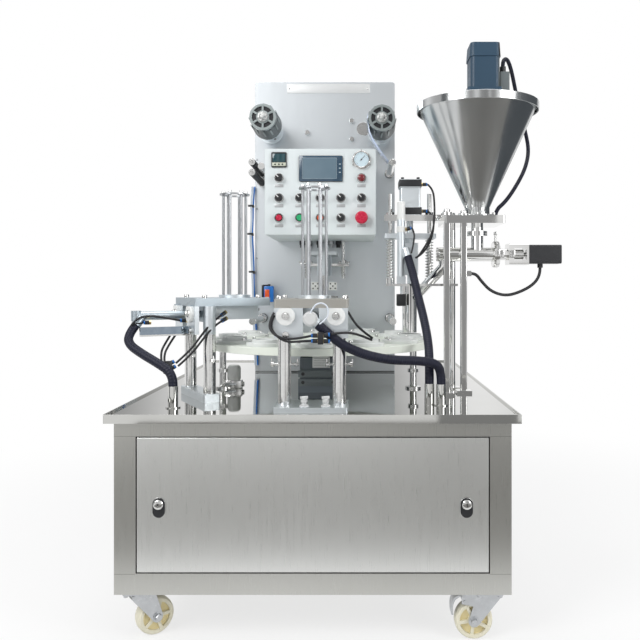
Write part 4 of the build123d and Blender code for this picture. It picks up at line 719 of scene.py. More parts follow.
bm = bmesh.new()
block(bm, (-0.117, BOARD - 0.0008, 0.5660), (0.508, 0.0016, 0.0034), soft=0.0004)
place_piece(bm, "board_foot_seam", black_plastic)

# %% [markdown]
# ## Reels and rollers
# Each reel is clamped by a spoked flange with a bright hand nut, and the tapered hub behind it is ribbed
# to grip the core. First comes the turned cap in the middle of each.

# %% Reel caps
REELS = {"left": (-0.309, 1.434), "right": (0.083, 1.431)}
reel_box = {side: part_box("film_reel_" + side) for side in REELS}
for side, (x, z) in REELS.items():
    front = reel_box[side][0][1]
    bm = bmesh.new()
    turned(bm, [(0.0062, -0.008), (0.0062, 0.002), (0.018, 0.003), (0.0195, 0.001), (0.021, -0.002),
                (0.021, -0.008), (0.0062, -0.008)], (x, front, z), FRONT, 40)
    place_piece(bm, "reel_cap_" + side, cast_aluminium, body=side + "_reel")
print("reel fronts at", [round(b[0][1], 4) for b in reel_box.values()])

# %% [markdown]
# ## Castors
# The wheels are cast nylon: a round tread, a hub, and five pockets between spokes on each side. Cutting
# the pockets with booleans would leave a rough mesh. Spinning the section gives a wheel with a groove on
# each side, and five short bars across each groove are the spokes. The groove floors are painted a
# darker cream, as painted shade in the pockets.


# %% Nylon wheels
# Darker cream for the groove floors: painted shade in the wheels' pockets.
painted_pocket_shade = finish("painted_pocket_shade", (0.80, 0.70, 0.40), 0.0, (0.4, 0.55), (90, 90, 90),
                      tone=(0.74, 0.62, 0.32), cloud=30)


def nylon_wheel(name, centre, axle, body):
    """A wheel about its axle, which replaces the plain one of the CAD."""
    centre, axle = Vector(centre), Vector(axle).normalized()
    bm = bmesh.new()
    half = 0.016           # half the wheel's width
    groove = half - 0.006  # from the middle plane to a groove's floor
    section = [(0.0063, -half), (0.0150, -half), (0.0155, -groove), (0.0345, -groove),
               (0.0352, -half), (0.0430, -half), (0.0462, -half + 0.004), (0.0475, -half + 0.010),
               (0.0475, half - 0.010), (0.0462, half - 0.004), (0.0430, half), (0.0352, half),
               (0.0345, groove), (0.0155, groove), (0.0150, half), (0.0063, half),
               (0.0063, -half)]
    turned(bm, section, centre, axle, 60)
    up = axle.orthogonal().normalized()
    for number in range(5):
        spoke = Matrix.Rotation(2 * pi * number / 5, 3, axle) @ up
        for side in (-1, 1):
            made = bmesh.ops.create_cube(bm, size=1.0)
            turn = Matrix((spoke, axle.cross(spoke), axle)).transposed().to_4x4()
            bmesh.ops.scale(bm, vec=(0.0205, 0.008, 0.0066), verts=made["verts"])
            bmesh.ops.transform(bm, verts=made["verts"], matrix=Matrix.Translation(
                centre + spoke * 0.0248 + axle * side * (half - 0.0037)) @ turn)
    for side in (-1, 1):
        turned(bm, [(0.0062, 0.0), (0.0105, 0.0), (0.0105, 0.0012), (0.0062, 0.0012), (0.0062, 0.0)],
               centre + axle * side * half, axle * side, 24, material=1)
    # The groove floors take the third slot, the painted shade of the pockets.
    for face in bm.faces:
        away = face.calc_center_median() - centre
        if face.material_index == 0 and 0.016 < (away - axle * away.dot(axle)).length < 0.034 \
                and abs(away.dot(axle)) < half - 0.005:
            face.material_index = 2
    place_piece(bm, name, [ivory_nylon, zinc_plate, painted_pocket_shade], body=body,
                replaces=["castor_" + name], sharp=28)


WHEEL_RADIUS = 0.0475
lean = radians(38)      # the left front castor has swivelled
FRONT_WHEELS = {"left": ((-0.51063, -0.54834), (sin(lean), -cos(lean), 0)),
                "right": ((0.293, -0.5705), (0, 1, 0))}
for side, (middle, axle) in FRONT_WHEELS.items():
    nylon_wheel("wheel_front_" + side, (*middle, WHEEL_RADIUS), axle, "front_" + side + "_wheel")
for side, x in (("left", -0.539), ("right", 0.329)):
    nylon_wheel("wheel_rear_" + side, (x, 0.5705, WHEEL_RADIUS), (1, 0, 0), "rear_" + side + "_wheel")

# %% Castor bolts
bm = bmesh.new()
for x in (-0.539, 0.329):
    for y in (-0.5705, 0.5705):
        for dx in (-0.025, 0.025):
            for dy in (-0.038, 0.038):
                turned(bm, [(0, 0.006), (0.0050, 0.006), (0.0058, 0.005), (0.0058, 0), (0, 0)],
                       (x + dx, y + dy, 0.121), (0, 0, -1), 6)
place_piece(bm, "castor_bolts", zinc_plate)
for side, (middle, axle) in FRONT_WHEELS.items():
    bm = bmesh.new()
    for way in (-1, 1):
        out = Vector(axle) * way
        at = Vector((*middle, WHEEL_RADIUS)) + out * 0.0222
        turned(bm, [(0, 0.009), (0.0080, 0.009), (0.0092, 0.0075), (0.0092, 0), (0, 0)], at, out, 6)
        turned(bm, [(0, 0.0015), (0.0125, 0.0015), (0.0125, 0), (0, 0)], at, out, 24)
    place_piece(bm, "axle_nuts_" + side, zinc_plate, body=side + "_castor")

# %% [markdown]
# ## Cabinet trim
# The cabinet's front frame is welded from wide strips, and the ground seams still show at its corners.
# They are strips a third of a millimetre thick, laid on the sheet, which is plainer than a groove and
# looks the same. The two locks are black housings with a bright key cylinder that stands proud.

# %% Seams and locks
seam_grey = finish("seam_grey", (0.30, 0.30, 0.28), 1.0, (0.4, 0.5), (300, 300, 300))
bm = bmesh.new()
for z in (0.1755, 0.5115):
    for x in (-0.5635, 0.3535):
        block(bm, (x, CAB_FRONT - 0.0001, z), (0.052, 0.0003, 0.0009))
place_piece(bm, "frame_seams", seam_grey)
LOCK_Z = 0.347
for side, x in (("left", -0.480), ("right", 0.270)):
    bm = bmesh.new()
    turned(bm, [(0, 0.0062), (0.0030, 0.0062), (0.0034, 0.0082), (0.0085, 0.0082), (0.0105, 0.0070),
                (0.0112, 0.0050), (0, 0.0050)], (x, CAB_FRONT - 0.0045, LOCK_Z), FRONT, 36)
    block(bm, (x, CAB_FRONT - 0.0045 - 0.0084, LOCK_Z), (0.0012, 0.0006, 0.0075), material=1)
    place_piece(bm, "key_cylinder_" + side, [turned_steel, black_gloss], body=side + "_lock")

# %% [markdown]
# ### Flanges, hubs and rollers
# The reel flanges have six windows. Cutting them out of a disc would leave long thin faces. So each
# flange is a turned ring and a turned rim, with six tapered spokes between them, and what is left open
# are the windows. Behind it the hub swells and is ribbed.

# %% Windows in a flange
SPOKES = 6
SPOKE_ROOT, SPOKE_TIP = 0.15, 0.09      # half of a spoke's width at its two ends, as angles in radians


def flange(bm, at, inner, rim, outer, thick):
    """Spoked disc facing the viewer: a hub ring and a rim, joined by spokes between the windows."""
    for near, far in ((inner * 0.55, inner), (rim, outer)):
        turned(bm, [(near, 0), (far, 0), (far, -thick), (near, -thick), (near, 0)], at, FRONT, 48)
    for number in range(SPOKES):
        middle = 2 * pi * (number + 0.5) / SPOKES
        corners = [(inner * 0.98, middle - SPOKE_ROOT), (rim * 1.01, middle - SPOKE_TIP),
                   (rim * 1.01, middle + SPOKE_TIP), (inner * 0.98, middle + SPOKE_ROOT)]
        plate = bm.faces.new([bm.verts.new(Vector(at) + Vector((cos(angle) * radius, 0, sin(angle) * radius)))
                              for radius, angle in corners])
        grown = bmesh.ops.extrude_face_region(bm, geom=[plate])["geom"]
        bmesh.ops.translate(bm, vec=(0, thick, 0),
                            verts=[part for part in grown if isinstance(part, bmesh.types.BMVert)])


# %% Reel fronts and ribbed hubs
reel_grey = finish("reel_grey", (0.33, 0.37, 0.37), 0.7, (0.35, 0.5), (200, 200, 200), bump=0.08)
hub_dark = finish("hub_dark", (0.10, 0.115, 0.12), 0.3, (0.35, 0.5), (200, 200, 200), bump=0.1)
for side, (x, z) in REELS.items():
    front = reel_box[side][0][1]
    bm = bmesh.new()
    flange(bm, (x, front - 0.0062, z), 0.0215, 0.0355, 0.0432, 0.005)
    turned(bm, [(0.0375, 0.0), (0.0432, 0.0), (0.0440, -0.002), (0.0440, -0.008), (0.0375, -0.008),
                (0.0375, 0.0)], (x, front - 0.0064, z), FRONT, 48)
    # A thin black ring just behind the windows: painted shade seen through them.
    turned(bm, [(0.0190, 0.0006), (0.0372, 0.0006), (0.0372, 0.0002), (0.0190, 0.0002), (0.0190, 0.0006)],
           (x, front, z), FRONT, 48, material=1)
    place_piece(bm, "reel_flange_" + side, [reel_grey, black_plastic], body=side + "_reel")
    bm = bmesh.new()
    turned(bm, [(0.0435, -0.010), (0.0438, -0.020), (0.0485, -0.075), (0.0500, -0.120), (0.0438, -0.122),
                (0.0435, -0.010)], (x, front, z), FRONT, 48)
    for k in range(12):
        angle = 2 * pi * k / 12
        block(bm, (x + cos(angle) * 0.0472, front + 0.066, z + sin(angle) * 0.0472), (0.0025, 0.108, 0.005),
              tilt=(0, -angle, 0), material=1)
    place_piece(bm, "reel_hub_" + side, [hub_dark, reel_grey], body=side + "_reel")
    bm = bmesh.new()
    turned(bm, [(0, 0.0215), (0.0055, 0.0205), (0.0095, 0.0165), (0.0115, 0.0125), (0.0155, 0.0115),
                (0.0172, 0.0095), (0.0172, 0.0062), (0, 0.0062)], (x, front, z), FRONT, 40)
    for k in range(6):
        angle = 2 * pi * k / 6 + 0.3
        block(bm, (x + cos(angle) * 0.0122, front - 0.0135, z + sin(angle) * 0.0122),
              (0.0075, 0.006, 0.0035), tilt=(0, -angle, 0), soft=0.0008)
    place_piece(bm, "reel_nut_" + side, cast_aluminium, body=side + "_reel")

# %% Roller ends and collars on the bars
DRIVE, PINCH, GUIDE = (-0.343, 1.285), (-0.343, 1.251), (0.117, 1.284)
ROLLER_FRONT, SPINDLE_FRONT = -0.0125, -0.019
bm = bmesh.new()
for x, z in (DRIVE, PINCH, GUIDE):
    turned(bm, [(0.0052, 0.0), (0.0052, 0.003), (0.0098, 0.003), (0.0108, 0.002), (0.0110, 0.0),
                (0.0052, 0.0)], (x, ROLLER_FRONT, z), FRONT, 32)
    turned(bm, [(0, 0.0022), (0.0020, 0.0022), (0.0028, 0.0062), (0.0048, 0.0060), (0.0050, 0.0), (0, 0.0)],
           (x, SPINDLE_FRONT, z), FRONT, 24)
place_piece(bm, "roller_ends", turned_steel)
BARS = [(-0.313, 1.272), (-0.342, 0.762), (0.119, 0.762)]
GUIDE_BOSS = 0.2355      # front of the boss that carries the guide roller's spindle
BAR_FRONT = 0.1375       # front end of the two lower bars
bm = bmesh.new()
for x, z in BARS + [GUIDE]:
    foot = GUIDE_BOSS if (x, z) == GUIDE else BOARD
    turned(bm, [(0.0122, 0.0), (0.0150, 0.001), (0.0168, 0.004), (0.0168, 0.014), (0.0150, 0.017),
                (0.0122, 0.018), (0.0122, 0.0)], (x, foot, z), FRONT, 36)
place_piece(bm, "bar_collars", black_gloss)
bm = bmesh.new()
for x, z in BARS[1:]:
    turned(bm, [(0.0052, 0.001), (0.0052, 0.003), (0.0102, 0.003), (0.0112, 0.0), (0.0112, -0.012),
                (0.0098, -0.012), (0.0098, -0.002), (0.0052, 0.001)], (x, BAR_FRONT, z), FRONT, 32)
place_piece(bm, "bar_sockets", black_gloss)

# %% [markdown]
# ### Film and thin lines
# The clear film is pulled tight from the right reel to the guide roller, so it is one strip that a
# Solidify modifier makes thick, with a soft blue tint in clouds. Thin air lines are tubes of 3 mm radius
# or less, laid in the same way as the heavy hoses, and many of them end in a push-in fitting: a blue
# ring on a black body.

# %% Clear film
film_clear = finish("film_clear", (0.80, 0.84, 0.90), 0.0, (0.08, 0.18), (30, 30, 30),
                    tone=(0.30, 0.42, 0.72), cloud=9)
clear_tube = finish("clear_tube", (0.70, 0.74, 0.78), 0.0, (0.12, 0.22), (60, 60, 60),
                    tone=(0.55, 0.62, 0.72), cloud=18, coat=0.4)
FILM_WIDTH, FILM_THICKNESS = 0.072, 0.0003


def strip(name, points, wide, across):
    """Film web along a smooth line: two rows of points, as wide as the film, and nothing between them."""
    bare = spline(name + "_line", points)
    path = [v.co.copy() for v in bare.vertices]
    bpy.data.meshes.remove(bare)
    half = Vector(across).normalized() * wide / 2
    bm = bmesh.new()
    rows = [(bm.verts.new(at - half), bm.verts.new(at + half)) for at in path]
    for (a, b), (c, d) in zip(rows, rows[1:]):
        bm.faces.new((a, b, d, c))
    piece = place_piece(bm, name, film_clear)
    thick = piece.modifiers.new("thick", "SOLIDIFY")
    thick.thickness = FILM_THICKNESS
    thick.offset = 0


strip("film_web", [(0.0345, 0.060, 1.455), (0.037, 0.056, 1.405), (0.060, 0.050, 1.352),
                   (0.1055, 0.046, 1.2925)], FILM_WIDTH, (-0.03, 1.0, 0.0))


# %% Air lines and fittings
def air_line(name, points, radius=0.003, material=black_rubber):
    """A thin line in one colour, with its points given in millimetres."""
    route = [(x / 1000, y / 1000, z / 1000) for x, y, z in points]
    piece, length = lay_cord(name, route, radius)
    piece.data.materials.append(material)
    print(name, round(length, 3), "m")


def fitting(bm, at, along, size):
    """Push-in fitting: hexagon foot, black body and blue release ring, along one axis."""
    at, along = Vector(at), Vector(along).normalized()
    turned(bm, [(0, 0), (size * 0.9, 0), (size * 0.9, size * 0.7), (0, size * 0.7)], at, along, 6)
    turned(bm, [(0, 0), (size * 0.82, 0), (size * 0.82, size * 1.7), (0, size * 1.7)],
           at + along * size * 0.7, along, 24, material=1)
    turned(bm, [(0, 0), (size * 0.74, 0), (size * 0.74, size * 0.5), (0, size * 0.5)],
           at + along * size * 2.4, along, 24, material=2)


AIR_LINES = {
    "left_line_over": [(-603, -441, 771), (-592, -447, 789), (-560, -432, 799), (-522, -410, 792),
                       (-486, -385, 783)],
    "left_line_short": [(-608, -436, 765), (-598, -445, 777), (-577, -426, 779)],
    "left_line_drop_1": [(-507, -368, 758), (-524, -398, 722), (-531, -424, 694), (-521, -440, 668)],
    "left_line_drop_2": [(-496, -368, 753), (-515, -398, 716), (-522, -424, 688), (-513, -440, 664)],
    "left_line_rise_1": [(-482, -448, 672), (-445, -444, 704), (-413, -434, 751), (-388, -408, 785),
                         (-363, -368, 806)],
    "left_line_rise_2": [(-476, -448, 664), (-440, -444, 696), (-407, -434, 743), (-383, -408, 774),
                         (-360, -372, 789)],
    "front_line_1": [(-205, -574, 811), (-216, -584, 788), (-211, -592, 764), (-181, -598, 747),
                     (-138, -600, 749), (-108, -600, 756)],
    "front_line_2": [(-205, -568, 804), (-213, -580, 784), (-204, -590, 760), (-173, -597, 739),
                     (-133, -600, 742), (-108, -600, 743)],
    "front_line_3": [(-60, -600, 760), (-30, -594, 764), (5, -566, 758), (40, -518, 739)],
    "front_line_4": [(-21, -560, 815), (-8, -560, 792), (13, -546, 766), (42, -516, 744)],
}
for name, points in AIR_LINES.items():
    air_line(name, points)
air_line("clear_loop", [(-112, -600, 812), (-104, -603, 830), (-86, -603, 838), (-70, -602, 830),
                        (-67, -600, 810), (-76, -598, 794), (-90, -600, 784)], 0.002, clear_tube)
for number, shift in enumerate((-5, 0, 5)):
    air_line("board_line_%d" % (number + 1), [
        (-377 + shift, 250, 1240), (-382 + shift, 246, 1172), (-380 + shift * 0.6, 243, 1120),
        (-385 + shift, 244, 1063), (-379 + shift, 246, 965), (-376 + shift * 0.6, 246, 840),
        (-371 + shift, 248, 720), (-366 + shift, 250, 590),
    ], 0.0025, clear_tube if number < 2 else blue_plastic)

# %% Clips and fittings
bm = bmesh.new()
for x, y, z in ((-0.381, 0.246, 1.170), (-0.383, 0.244, 1.068), (-0.378, 0.2465, 0.930)):
    block(bm, (x - 0.004, y, z), (0.022, 0.009, 0.007), soft=0.001)
    turned(bm, [(0, 0), (0.0042, 0), (0.0042, 0.010), (0, 0.010)], (x + 0.005, y - 0.002, z - 0.004),
           FRONT, 16)
place_piece(bm, "line_clips", black_plastic)

# Where each fitting sits, and which way its line leaves it.
FITTINGS = [
    ((-0.469, -0.375, 0.783), (-0.866, -0.5, 0)), ((-0.557, -0.418, 0.779), (-1, -0.4, 0)),
    ((-0.507, -0.368, 0.762), (-0.5, -0.6, -1)), ((-0.496, -0.368, 0.757), (-0.5, -0.6, -1)),
    ((-0.363, -0.368, 0.806), (-0.6, -0.7, -0.5)), ((-0.360, -0.372, 0.789), (-0.6, -0.7, -0.4)),
    ((-0.504, -0.450, 0.668), (1, 0.1, 0.5)), ((-0.500, -0.450, 0.655), (1, 0.1, 0.5)),
    ((-0.090, -0.600, 0.756), (-1, 0, 0)), ((-0.090, -0.600, 0.743), (-1, 0, 0)),
    ((-0.084, -0.600, 0.756), (1, 0, 0.15)), ((-0.084, -0.600, 0.742), (1, 0, 0)),
]
bm = bmesh.new()
for at, along in FITTINGS:
    fitting(bm, at, along, 0.0068)
block(bm, (-0.087, -0.600, 0.7495), (0.014, 0.016, 0.030), soft=0.0015, material=1)
block(bm, (-0.503, -0.452, 0.661), (0.022, 0.016, 0.034), turn=0.4, soft=0.002, material=1)
place_piece(bm, "push_in_fittings", [brass, black_plastic, blue_plastic])

# %% [markdown]
# ## The dispensing stations
# Both stations share one plan and face two ways, so their trim is placed in station terms: how far out
# from the table's axis, how far sideways, and how high. One function turns that into a place in the
# frame, which is safer than working out each turned place by hand.

# %% Station trim
DIE_CIRCLE = 0.278                                    # radius of the circle that the dies stand on
ROD_CIRCLE, ROD_TOP = 0.032, 1.148                    # radius and height of a magazine's ring of rods
COLUMN_HALF = {"capsule": 0.0705, "lid": 0.0865}      # from a station's middle plane to its columns


def station_place(heading, out, side, z):
    """A place in the frame, from station terms."""
    return TURN + Vector((cos(heading) * out - sin(heading) * side,
                          sin(heading) * out + cos(heading) * side, z))


for station, heading in STATIONS.items():
    outward = Vector((cos(heading), sin(heading), 0))
    sideways = Vector((-sin(heading), cos(heading), 0))
    bm = bmesh.new()
    for side in (-0.063, 0.063):
        hub = station_place(heading, 0.435, side, 0.803)
        turned(bm, [(0.0042, 0.0), (0.0042, 0.0012), (0.0095, 0.0012), (0.0105, 0.0), (0.0042, 0.0)], hub,
               outward, 32)
        screw(bm, hub, outward, 0.0072, 0.0085)
    screw(bm, station_place(heading, 0.425, -0.063 if station == "capsule" else 0.063, 0.7555), outward,
          0.0088, 0.0075)
    for side in (-0.084, 0.084):
        for out in (0.240, 0.395):
            turned(bm, [(0, 0.006), (0.0030, 0.006), (0.0032, 0.0085), (0.0062, 0.0085), (0.0070, 0.0070),
                        (0.0070, 0), (0, 0)], station_place(heading, out, side, 0.845), UP, 20)
    for side in (-1, 1):
        foot = station_place(heading, 0.382, side * COLUMN_HALF[station], 0.677)
        for way in (-1, 1):
            start = foot + sideways * way * 0.016
            rod(bm, start, start + sideways * way * 0.013, 0.0032, 12)
            turned(bm, [(0, 0.010), (0.0042, 0.010), (0.0062, 0.008), (0.0064, 0.002), (0.0045, 0), (0, 0)],
                   start + sideways * way * 0.010, sideways * way, 20)
            block(bm, start + sideways * way * 0.017 + Vector((0, 0, 0.004)), (0.003, 0.003, 0.020),
                  turn=heading, soft=0.0008)
    place_piece(bm, station + "_station_bolts", turned_steel)
    bm = bmesh.new()
    rods = station_place(heading, DIE_CIRCLE, 0, ROD_TOP)
    for number in range(6):
        turn = heading + radians(90 + 60 * number + (15 if station == "lid" else 0))
        at = rods + Vector((cos(turn), sin(turn), 0)) * ROD_CIRCLE
        turned(bm, [(0, 0.0062), (0.0028, 0.0062), (0.0048, 0.0045), (0.0055, 0.0), (0, 0)], at, UP, 18)
    place_piece(bm, station + "_rod_nuts", turned_steel)

# %% Wing screws on the front foot, and the cylinder's cap
bm = bmesh.new()
for x in (-0.130, -0.076):
    turned(bm, [(0, 0.020), (0.0050, 0.020), (0.0085, 0.017), (0.0085, 0.011), (0.0058, 0.008),
                (0.0085, 0.005), (0.0125, 0.003), (0.0125, 0), (0, 0)], (x, -0.567, 0.576), UP, 28)
    block(bm, (x, -0.567, 0.5985), (0.021, 0.005, 0.007), turn=0.5, soft=0.001)
place_piece(bm, "wing_screws", plate_white)
bm = bmesh.new()
turned(bm, [(0, 0.0085), (0.0135, 0.0085), (0.0150, 0.0070), (0.0150, 0.0035), (0.0182, 0.0030),
            (0.0186, 0.0), (0.0186, -0.010), (0.0182, -0.0105), (0, -0.0105)], (-0.113, -0.5965, 0.797),
       FRONT, 44)
place_piece(bm, "front_cylinder_cap", plate_white)

# %% [markdown]
# ## Table, indexer and what stands under the table
# Small bolts hold each die. The gearbox under the table has a small ruled plate and two flat strips with
# two holes each, drawn as black discs of painted shade. Posts carry the table's rim from below, and a small
# air filter stands beside one.
# Round things are spun from their profile, which is how a lathe makes them.

# %% Die bolts
bm = bmesh.new()
for number in range(12):
    angle = radians(30 * number)
    middle = TURN + Vector((cos(angle), sin(angle), 0)) * DIE_CIRCLE
    for way in (-1, 1):
        turn = angle + radians(90 + 18) * way
        at = middle + Vector((cos(turn), sin(turn), 0)) * 0.0440 + Vector((0, 0, 0.722))
        turned(bm, [(0, 0.003), (0.0024, 0.003), (0.0026, 0.0062), (0.0048, 0.0058), (0.0056, 0.0045),
                    (0.0056, 0), (0, 0)], at, UP, 16)
    turn = angle + pi
    at = middle + Vector((cos(turn), sin(turn), 0)) * 0.0735 + Vector((0, 0, 0.713))
    turned(bm, [(0, 0.0085), (0.0040, 0.0085), (0.0055, 0.0070), (0.0058, 0), (0, 0)], at, UP, 18)
place_piece(bm, "die_bolts", turned_steel, body="table")

# %% Indexer
strip_grey = finish("strip_grey", (0.15, 0.175, 0.185), 0.3, (0.35, 0.5), (220, 220, 220), bump=0.1)
STRIPS = (0.6185, 0.5935)      # heights of the two strips
bm = bmesh.new()
block(bm, (-0.104, -0.2462, 0.6535), (0.052, 0.0014, 0.034), soft=0.0005)
for z in STRIPS:
    block(bm, (-0.113, -0.2466, z), (0.118, 0.003, 0.021), soft=0.0008, material=1)
# Black discs for the strips' holes: painted shade.
for x in (-0.158, -0.068):
    for z in STRIPS:
        turned(bm, [(0, 0.0006), (0.0048, 0.0006), (0.0052, 0.0), (0, 0)], (x, -0.2481, z), FRONT, 24,
               material=2)
for row in range(4):
    block(bm, (-0.104, -0.2470, 0.6640 - 0.0065 * row), (0.044, 0.0004, 0.0008), material=1)
place_piece(bm, "indexer_plates", [plate_white, strip_grey, black_plastic])

# %% Posts and filter under the table
bm = bmesh.new()
for x, y in ((-0.413, -0.150), (0.175, -0.150)):
    turned(bm, [(0, 0), (0.024, 0), (0.024, 0.006), (0.0125, 0.008), (0.0105, 0.012), (0.0105, 0.118),
                (0.0085, 0.121), (0.0085, 0.1285), (0, 0.1285)], (x, y, 0.563), UP, 32)
    turned(bm, [(0.0106, 0), (0.0165, 0.001), (0.0165, 0.012), (0.0106, 0.013), (0.0106, 0)],
           (x, y, 0.612), UP, 32)
place_piece(bm, "table_posts", turned_steel)
bm = bmesh.new()
block(bm, (-0.378, -0.150, 0.5755), (0.050, 0.030, 0.025), soft=0.002, material=1)
turned(bm, [(0, 0.046), (0.014, 0.046), (0.0190, 0.042), (0.0205, 0.036), (0.0205, 0.004), (0.0180, 0),
            (0, 0)], (-0.378, -0.150, 0.588), UP, 36)
for x in (-0.409, -0.347):
    turned(bm, [(0, 0), (0.0075, 0), (0.0075, 0.010), (0.0045, 0.014), (0, 0.014)], (x, -0.150, 0.5755),
           (1 if x < -0.38 else -1, 0, 0), 20, material=1)
place_piece(bm, "air_filter", [white_nylon, turned_steel])

# %% Photo sensor on its arm
bm = bmesh.new()
block(bm, (-0.309, 0.160, 0.850), (0.034, 0.024, 0.056), soft=0.003)
block(bm, (-0.314, 0.1466, 0.850), (0.016, 0.0034, 0.032), soft=0.001, material=1)
block(bm, (-0.314, 0.1445, 0.838), (0.012, 0.002, 0.004), material=3)
block(bm, (-0.331, 0.2085, 0.855), (0.007, 0.106, 0.054), soft=0.001, material=2)
block(bm, (-0.320, 0.172, 0.880), (0.024, 0.012, 0.006), soft=0.001, material=2)
turned(bm, [(0, 0), (0.005, 0), (0.005, 0.007), (0, 0.007)], (-0.309, 0.160, 0.878), UP, 16, material=2)
place_piece(bm, "photo_sensor", [blue_plastic, orange_plastic, black_plastic, plate_white])

# %% [markdown]
# ## Sealing station
# The head hangs under the control box: a cross plate on two guide rods with springs, fittings in a row,
# and two white ceramic blocks where the heater wires are joined. A spring is a small circle that is spun
# about the rod and lifted a little at every step, which is how the operator makes a screw.

# %% Springs
COIL_STEPS, WIRE_SIDES = 16, 8


def coil(bm, at, radius, wire, height, turns):
    """Round wire wound about the upright axis."""
    steps = turns * COIL_STEPS
    start = Matrix.Translation(Vector(at) + Vector((radius, 0, 0))) @ Matrix.Rotation(pi / 2, 4, "X")
    ring = bmesh.ops.create_circle(bm, segments=WIRE_SIDES, radius=wire, matrix=start)["verts"]
    rim = list({edge for vert in ring for edge in vert.link_edges})
    wound = bmesh.ops.spin(bm, geom=ring + rim, cent=at, axis=UP, dvec=(0, 0, height / steps),
                           angle=2 * pi * turns, steps=steps, use_merge=False, use_duplicate=False)
    last = [part for part in wound["geom_last"] if isinstance(part, bmesh.types.BMEdge)]
    for end in (rim, last):
        bmesh.ops.edgeloop_fill(bm, edges=end)


# %% Sealing head trim
ceramic = finish("ceramic", (0.80, 0.80, 0.78), 0.0, (0.25, 0.4), (200, 200, 200), coat=0.2)
bm = bmesh.new()
block(bm, (-0.113, 0.176, 0.953), (0.170, 0.020, 0.012), soft=0.001)
for x in (-0.178, -0.048):
    rod(bm, (x, 0.178, 0.905), (x, 0.178, 1.038), 0.0055)
    turned(bm, [(0.0056, 0), (0.0115, 0), (0.0115, 0.010), (0.0056, 0.010), (0.0056, 0)],
           (x, 0.178, 0.959), UP, 24)
    coil(bm, (x, 0.178, 0.908), 0.0078, 0.0013, 0.038, 7)
for x in (-0.200, -0.160, -0.062, -0.030):
    screw(bm, (x, 0.176, 0.959), UP, 0.0052)
place_piece(bm, "sealing_guides", turned_steel)
bm = bmesh.new()
for x in (-0.141, -0.0815):
    block(bm, (x, 0.086, 0.878), (0.028, 0.012, 0.028), soft=0.0015)
    for dx, dz in ((-0.008, 0.008), (0.008, 0.008), (-0.008, -0.008), (0.008, -0.008), (0, 0)):
        turned(bm, [(0, 0.0008), (0.0024, 0.0008), (0.0027, 0), (0, 0)], (x + dx, 0.0802, 0.878 + dz),
               FRONT, 16, 1)
    block(bm, (x, 0.0975, 0.878), (0.010, 0.013, 0.010), material=2)
place_piece(bm, "heater_terminals", [ceramic, black_plastic, zinc_plate], body="sealer")
bm = bmesh.new()
for number, x in enumerate((-0.196, -0.170, -0.135, -0.092, -0.066)):
    turned(bm, [(0, 0), (0.0105, 0), (0.0105, 0.012), (0.0080, 0.015), (0.0080, 0.024), (0, 0.024)],
           (x, 0.215, 1.040), (0, 0, -1), 20, material=number % 2)
place_piece(bm, "box_glands", [black_plastic, zinc_plate])

# %% [markdown]
# ## Filling tower trim
# The tamper's air cylinder has black end caps on a silver barrel. Its two guide rods carry coil springs
# that close up when the tamper goes down. They can't ride on one body, so they stay on the machine, with
# a mesh of their own.
# The slim gate cylinder is white, over a black block.

# %% Tamper springs
FILL = Vector((0.165, -0.1415, 0))                # the axis on which a capsule is filled
GUIDES = (FILL.x - 0.0605, FILL.x + 0.0605)       # the guide rods left and right of it
SPRING_FOOT, SPRING_HEAD = 0.903, 1.024
bm = bmesh.new()
for x in GUIDES:
    coil(bm, (x, FILL.y, SPRING_FOOT + 0.0016), 0.0113, 0.0016, SPRING_HEAD - SPRING_FOOT - 0.0032, 13)
springs = place_piece(bm, "coil_springs", turned_steel, replaces=["tamper_springs"])
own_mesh(springs)

# %% Cylinder caps, gate cylinder and fittings
bm = bmesh.new()
for z in (1.1075, 1.1925):
    block(bm, (FILL.x, FILL.y, z), (0.0692, 0.0692, 0.0256), soft=0.0035)
    for dx in (-0.024, 0.024):
        for dy in (-0.024, 0.024):
            screw(bm, (FILL.x + dx, FILL.y + dy, z + 0.0128), UP, 0.005)
place_piece(bm, "tamper_caps", black_plastic)
GATE = (0.135, -0.2005)
bm = bmesh.new()
turned(bm, [(0.0124, 0), (0.0136, 0.001), (0.0136, 0.017), (0.0124, 0.018), (0.0124, 0)], (*GATE, 1.040),
       UP, 36)
turned(bm, [(0, 0), (0.0122, 0), (0.0122, 0.052), (0.0100, 0.055), (0, 0.055)], (*GATE, 1.078), UP, 36)
place_piece(bm, "gate_sleeve", white_nylon)
bm = bmesh.new()
block(bm, (GATE[0], GATE[1], 0.836), (0.028, 0.028, 0.036), soft=0.003)
place_piece(bm, "gate_block", black_plastic)
bm = bmesh.new()
fitting(bm, (GATE[0] + 0.013, GATE[1] - 0.004, 1.048), (1, -0.3, 0.3), 0.0065)
fitting(bm, (0.199, -0.160, 1.108), (1, -0.2, 0), 0.0065)
fitting(bm, (0.199, -0.160, 1.190), (1, -0.2, 0), 0.0065)
place_piece(bm, "tower_fittings", [brass, black_plastic, blue_plastic])
air_line("tower_line_1", [(218, -164, 1108), (232, -170, 1100), (236, -190, 1060), (222, -212, 1010),
                          (196, -224, 972), (176, -226, 962)])
air_line("tower_line_2", [(218, -164, 1190), (234, -168, 1176), (238, -180, 1130), (236, -196, 1070),
                          (222, -214, 1018), (184, -226, 966)])
air_line("gate_line", [(166, -210, 1054), (174, -214, 1040), (172, -222, 1010), (164, -226, 976)], 0.0025)

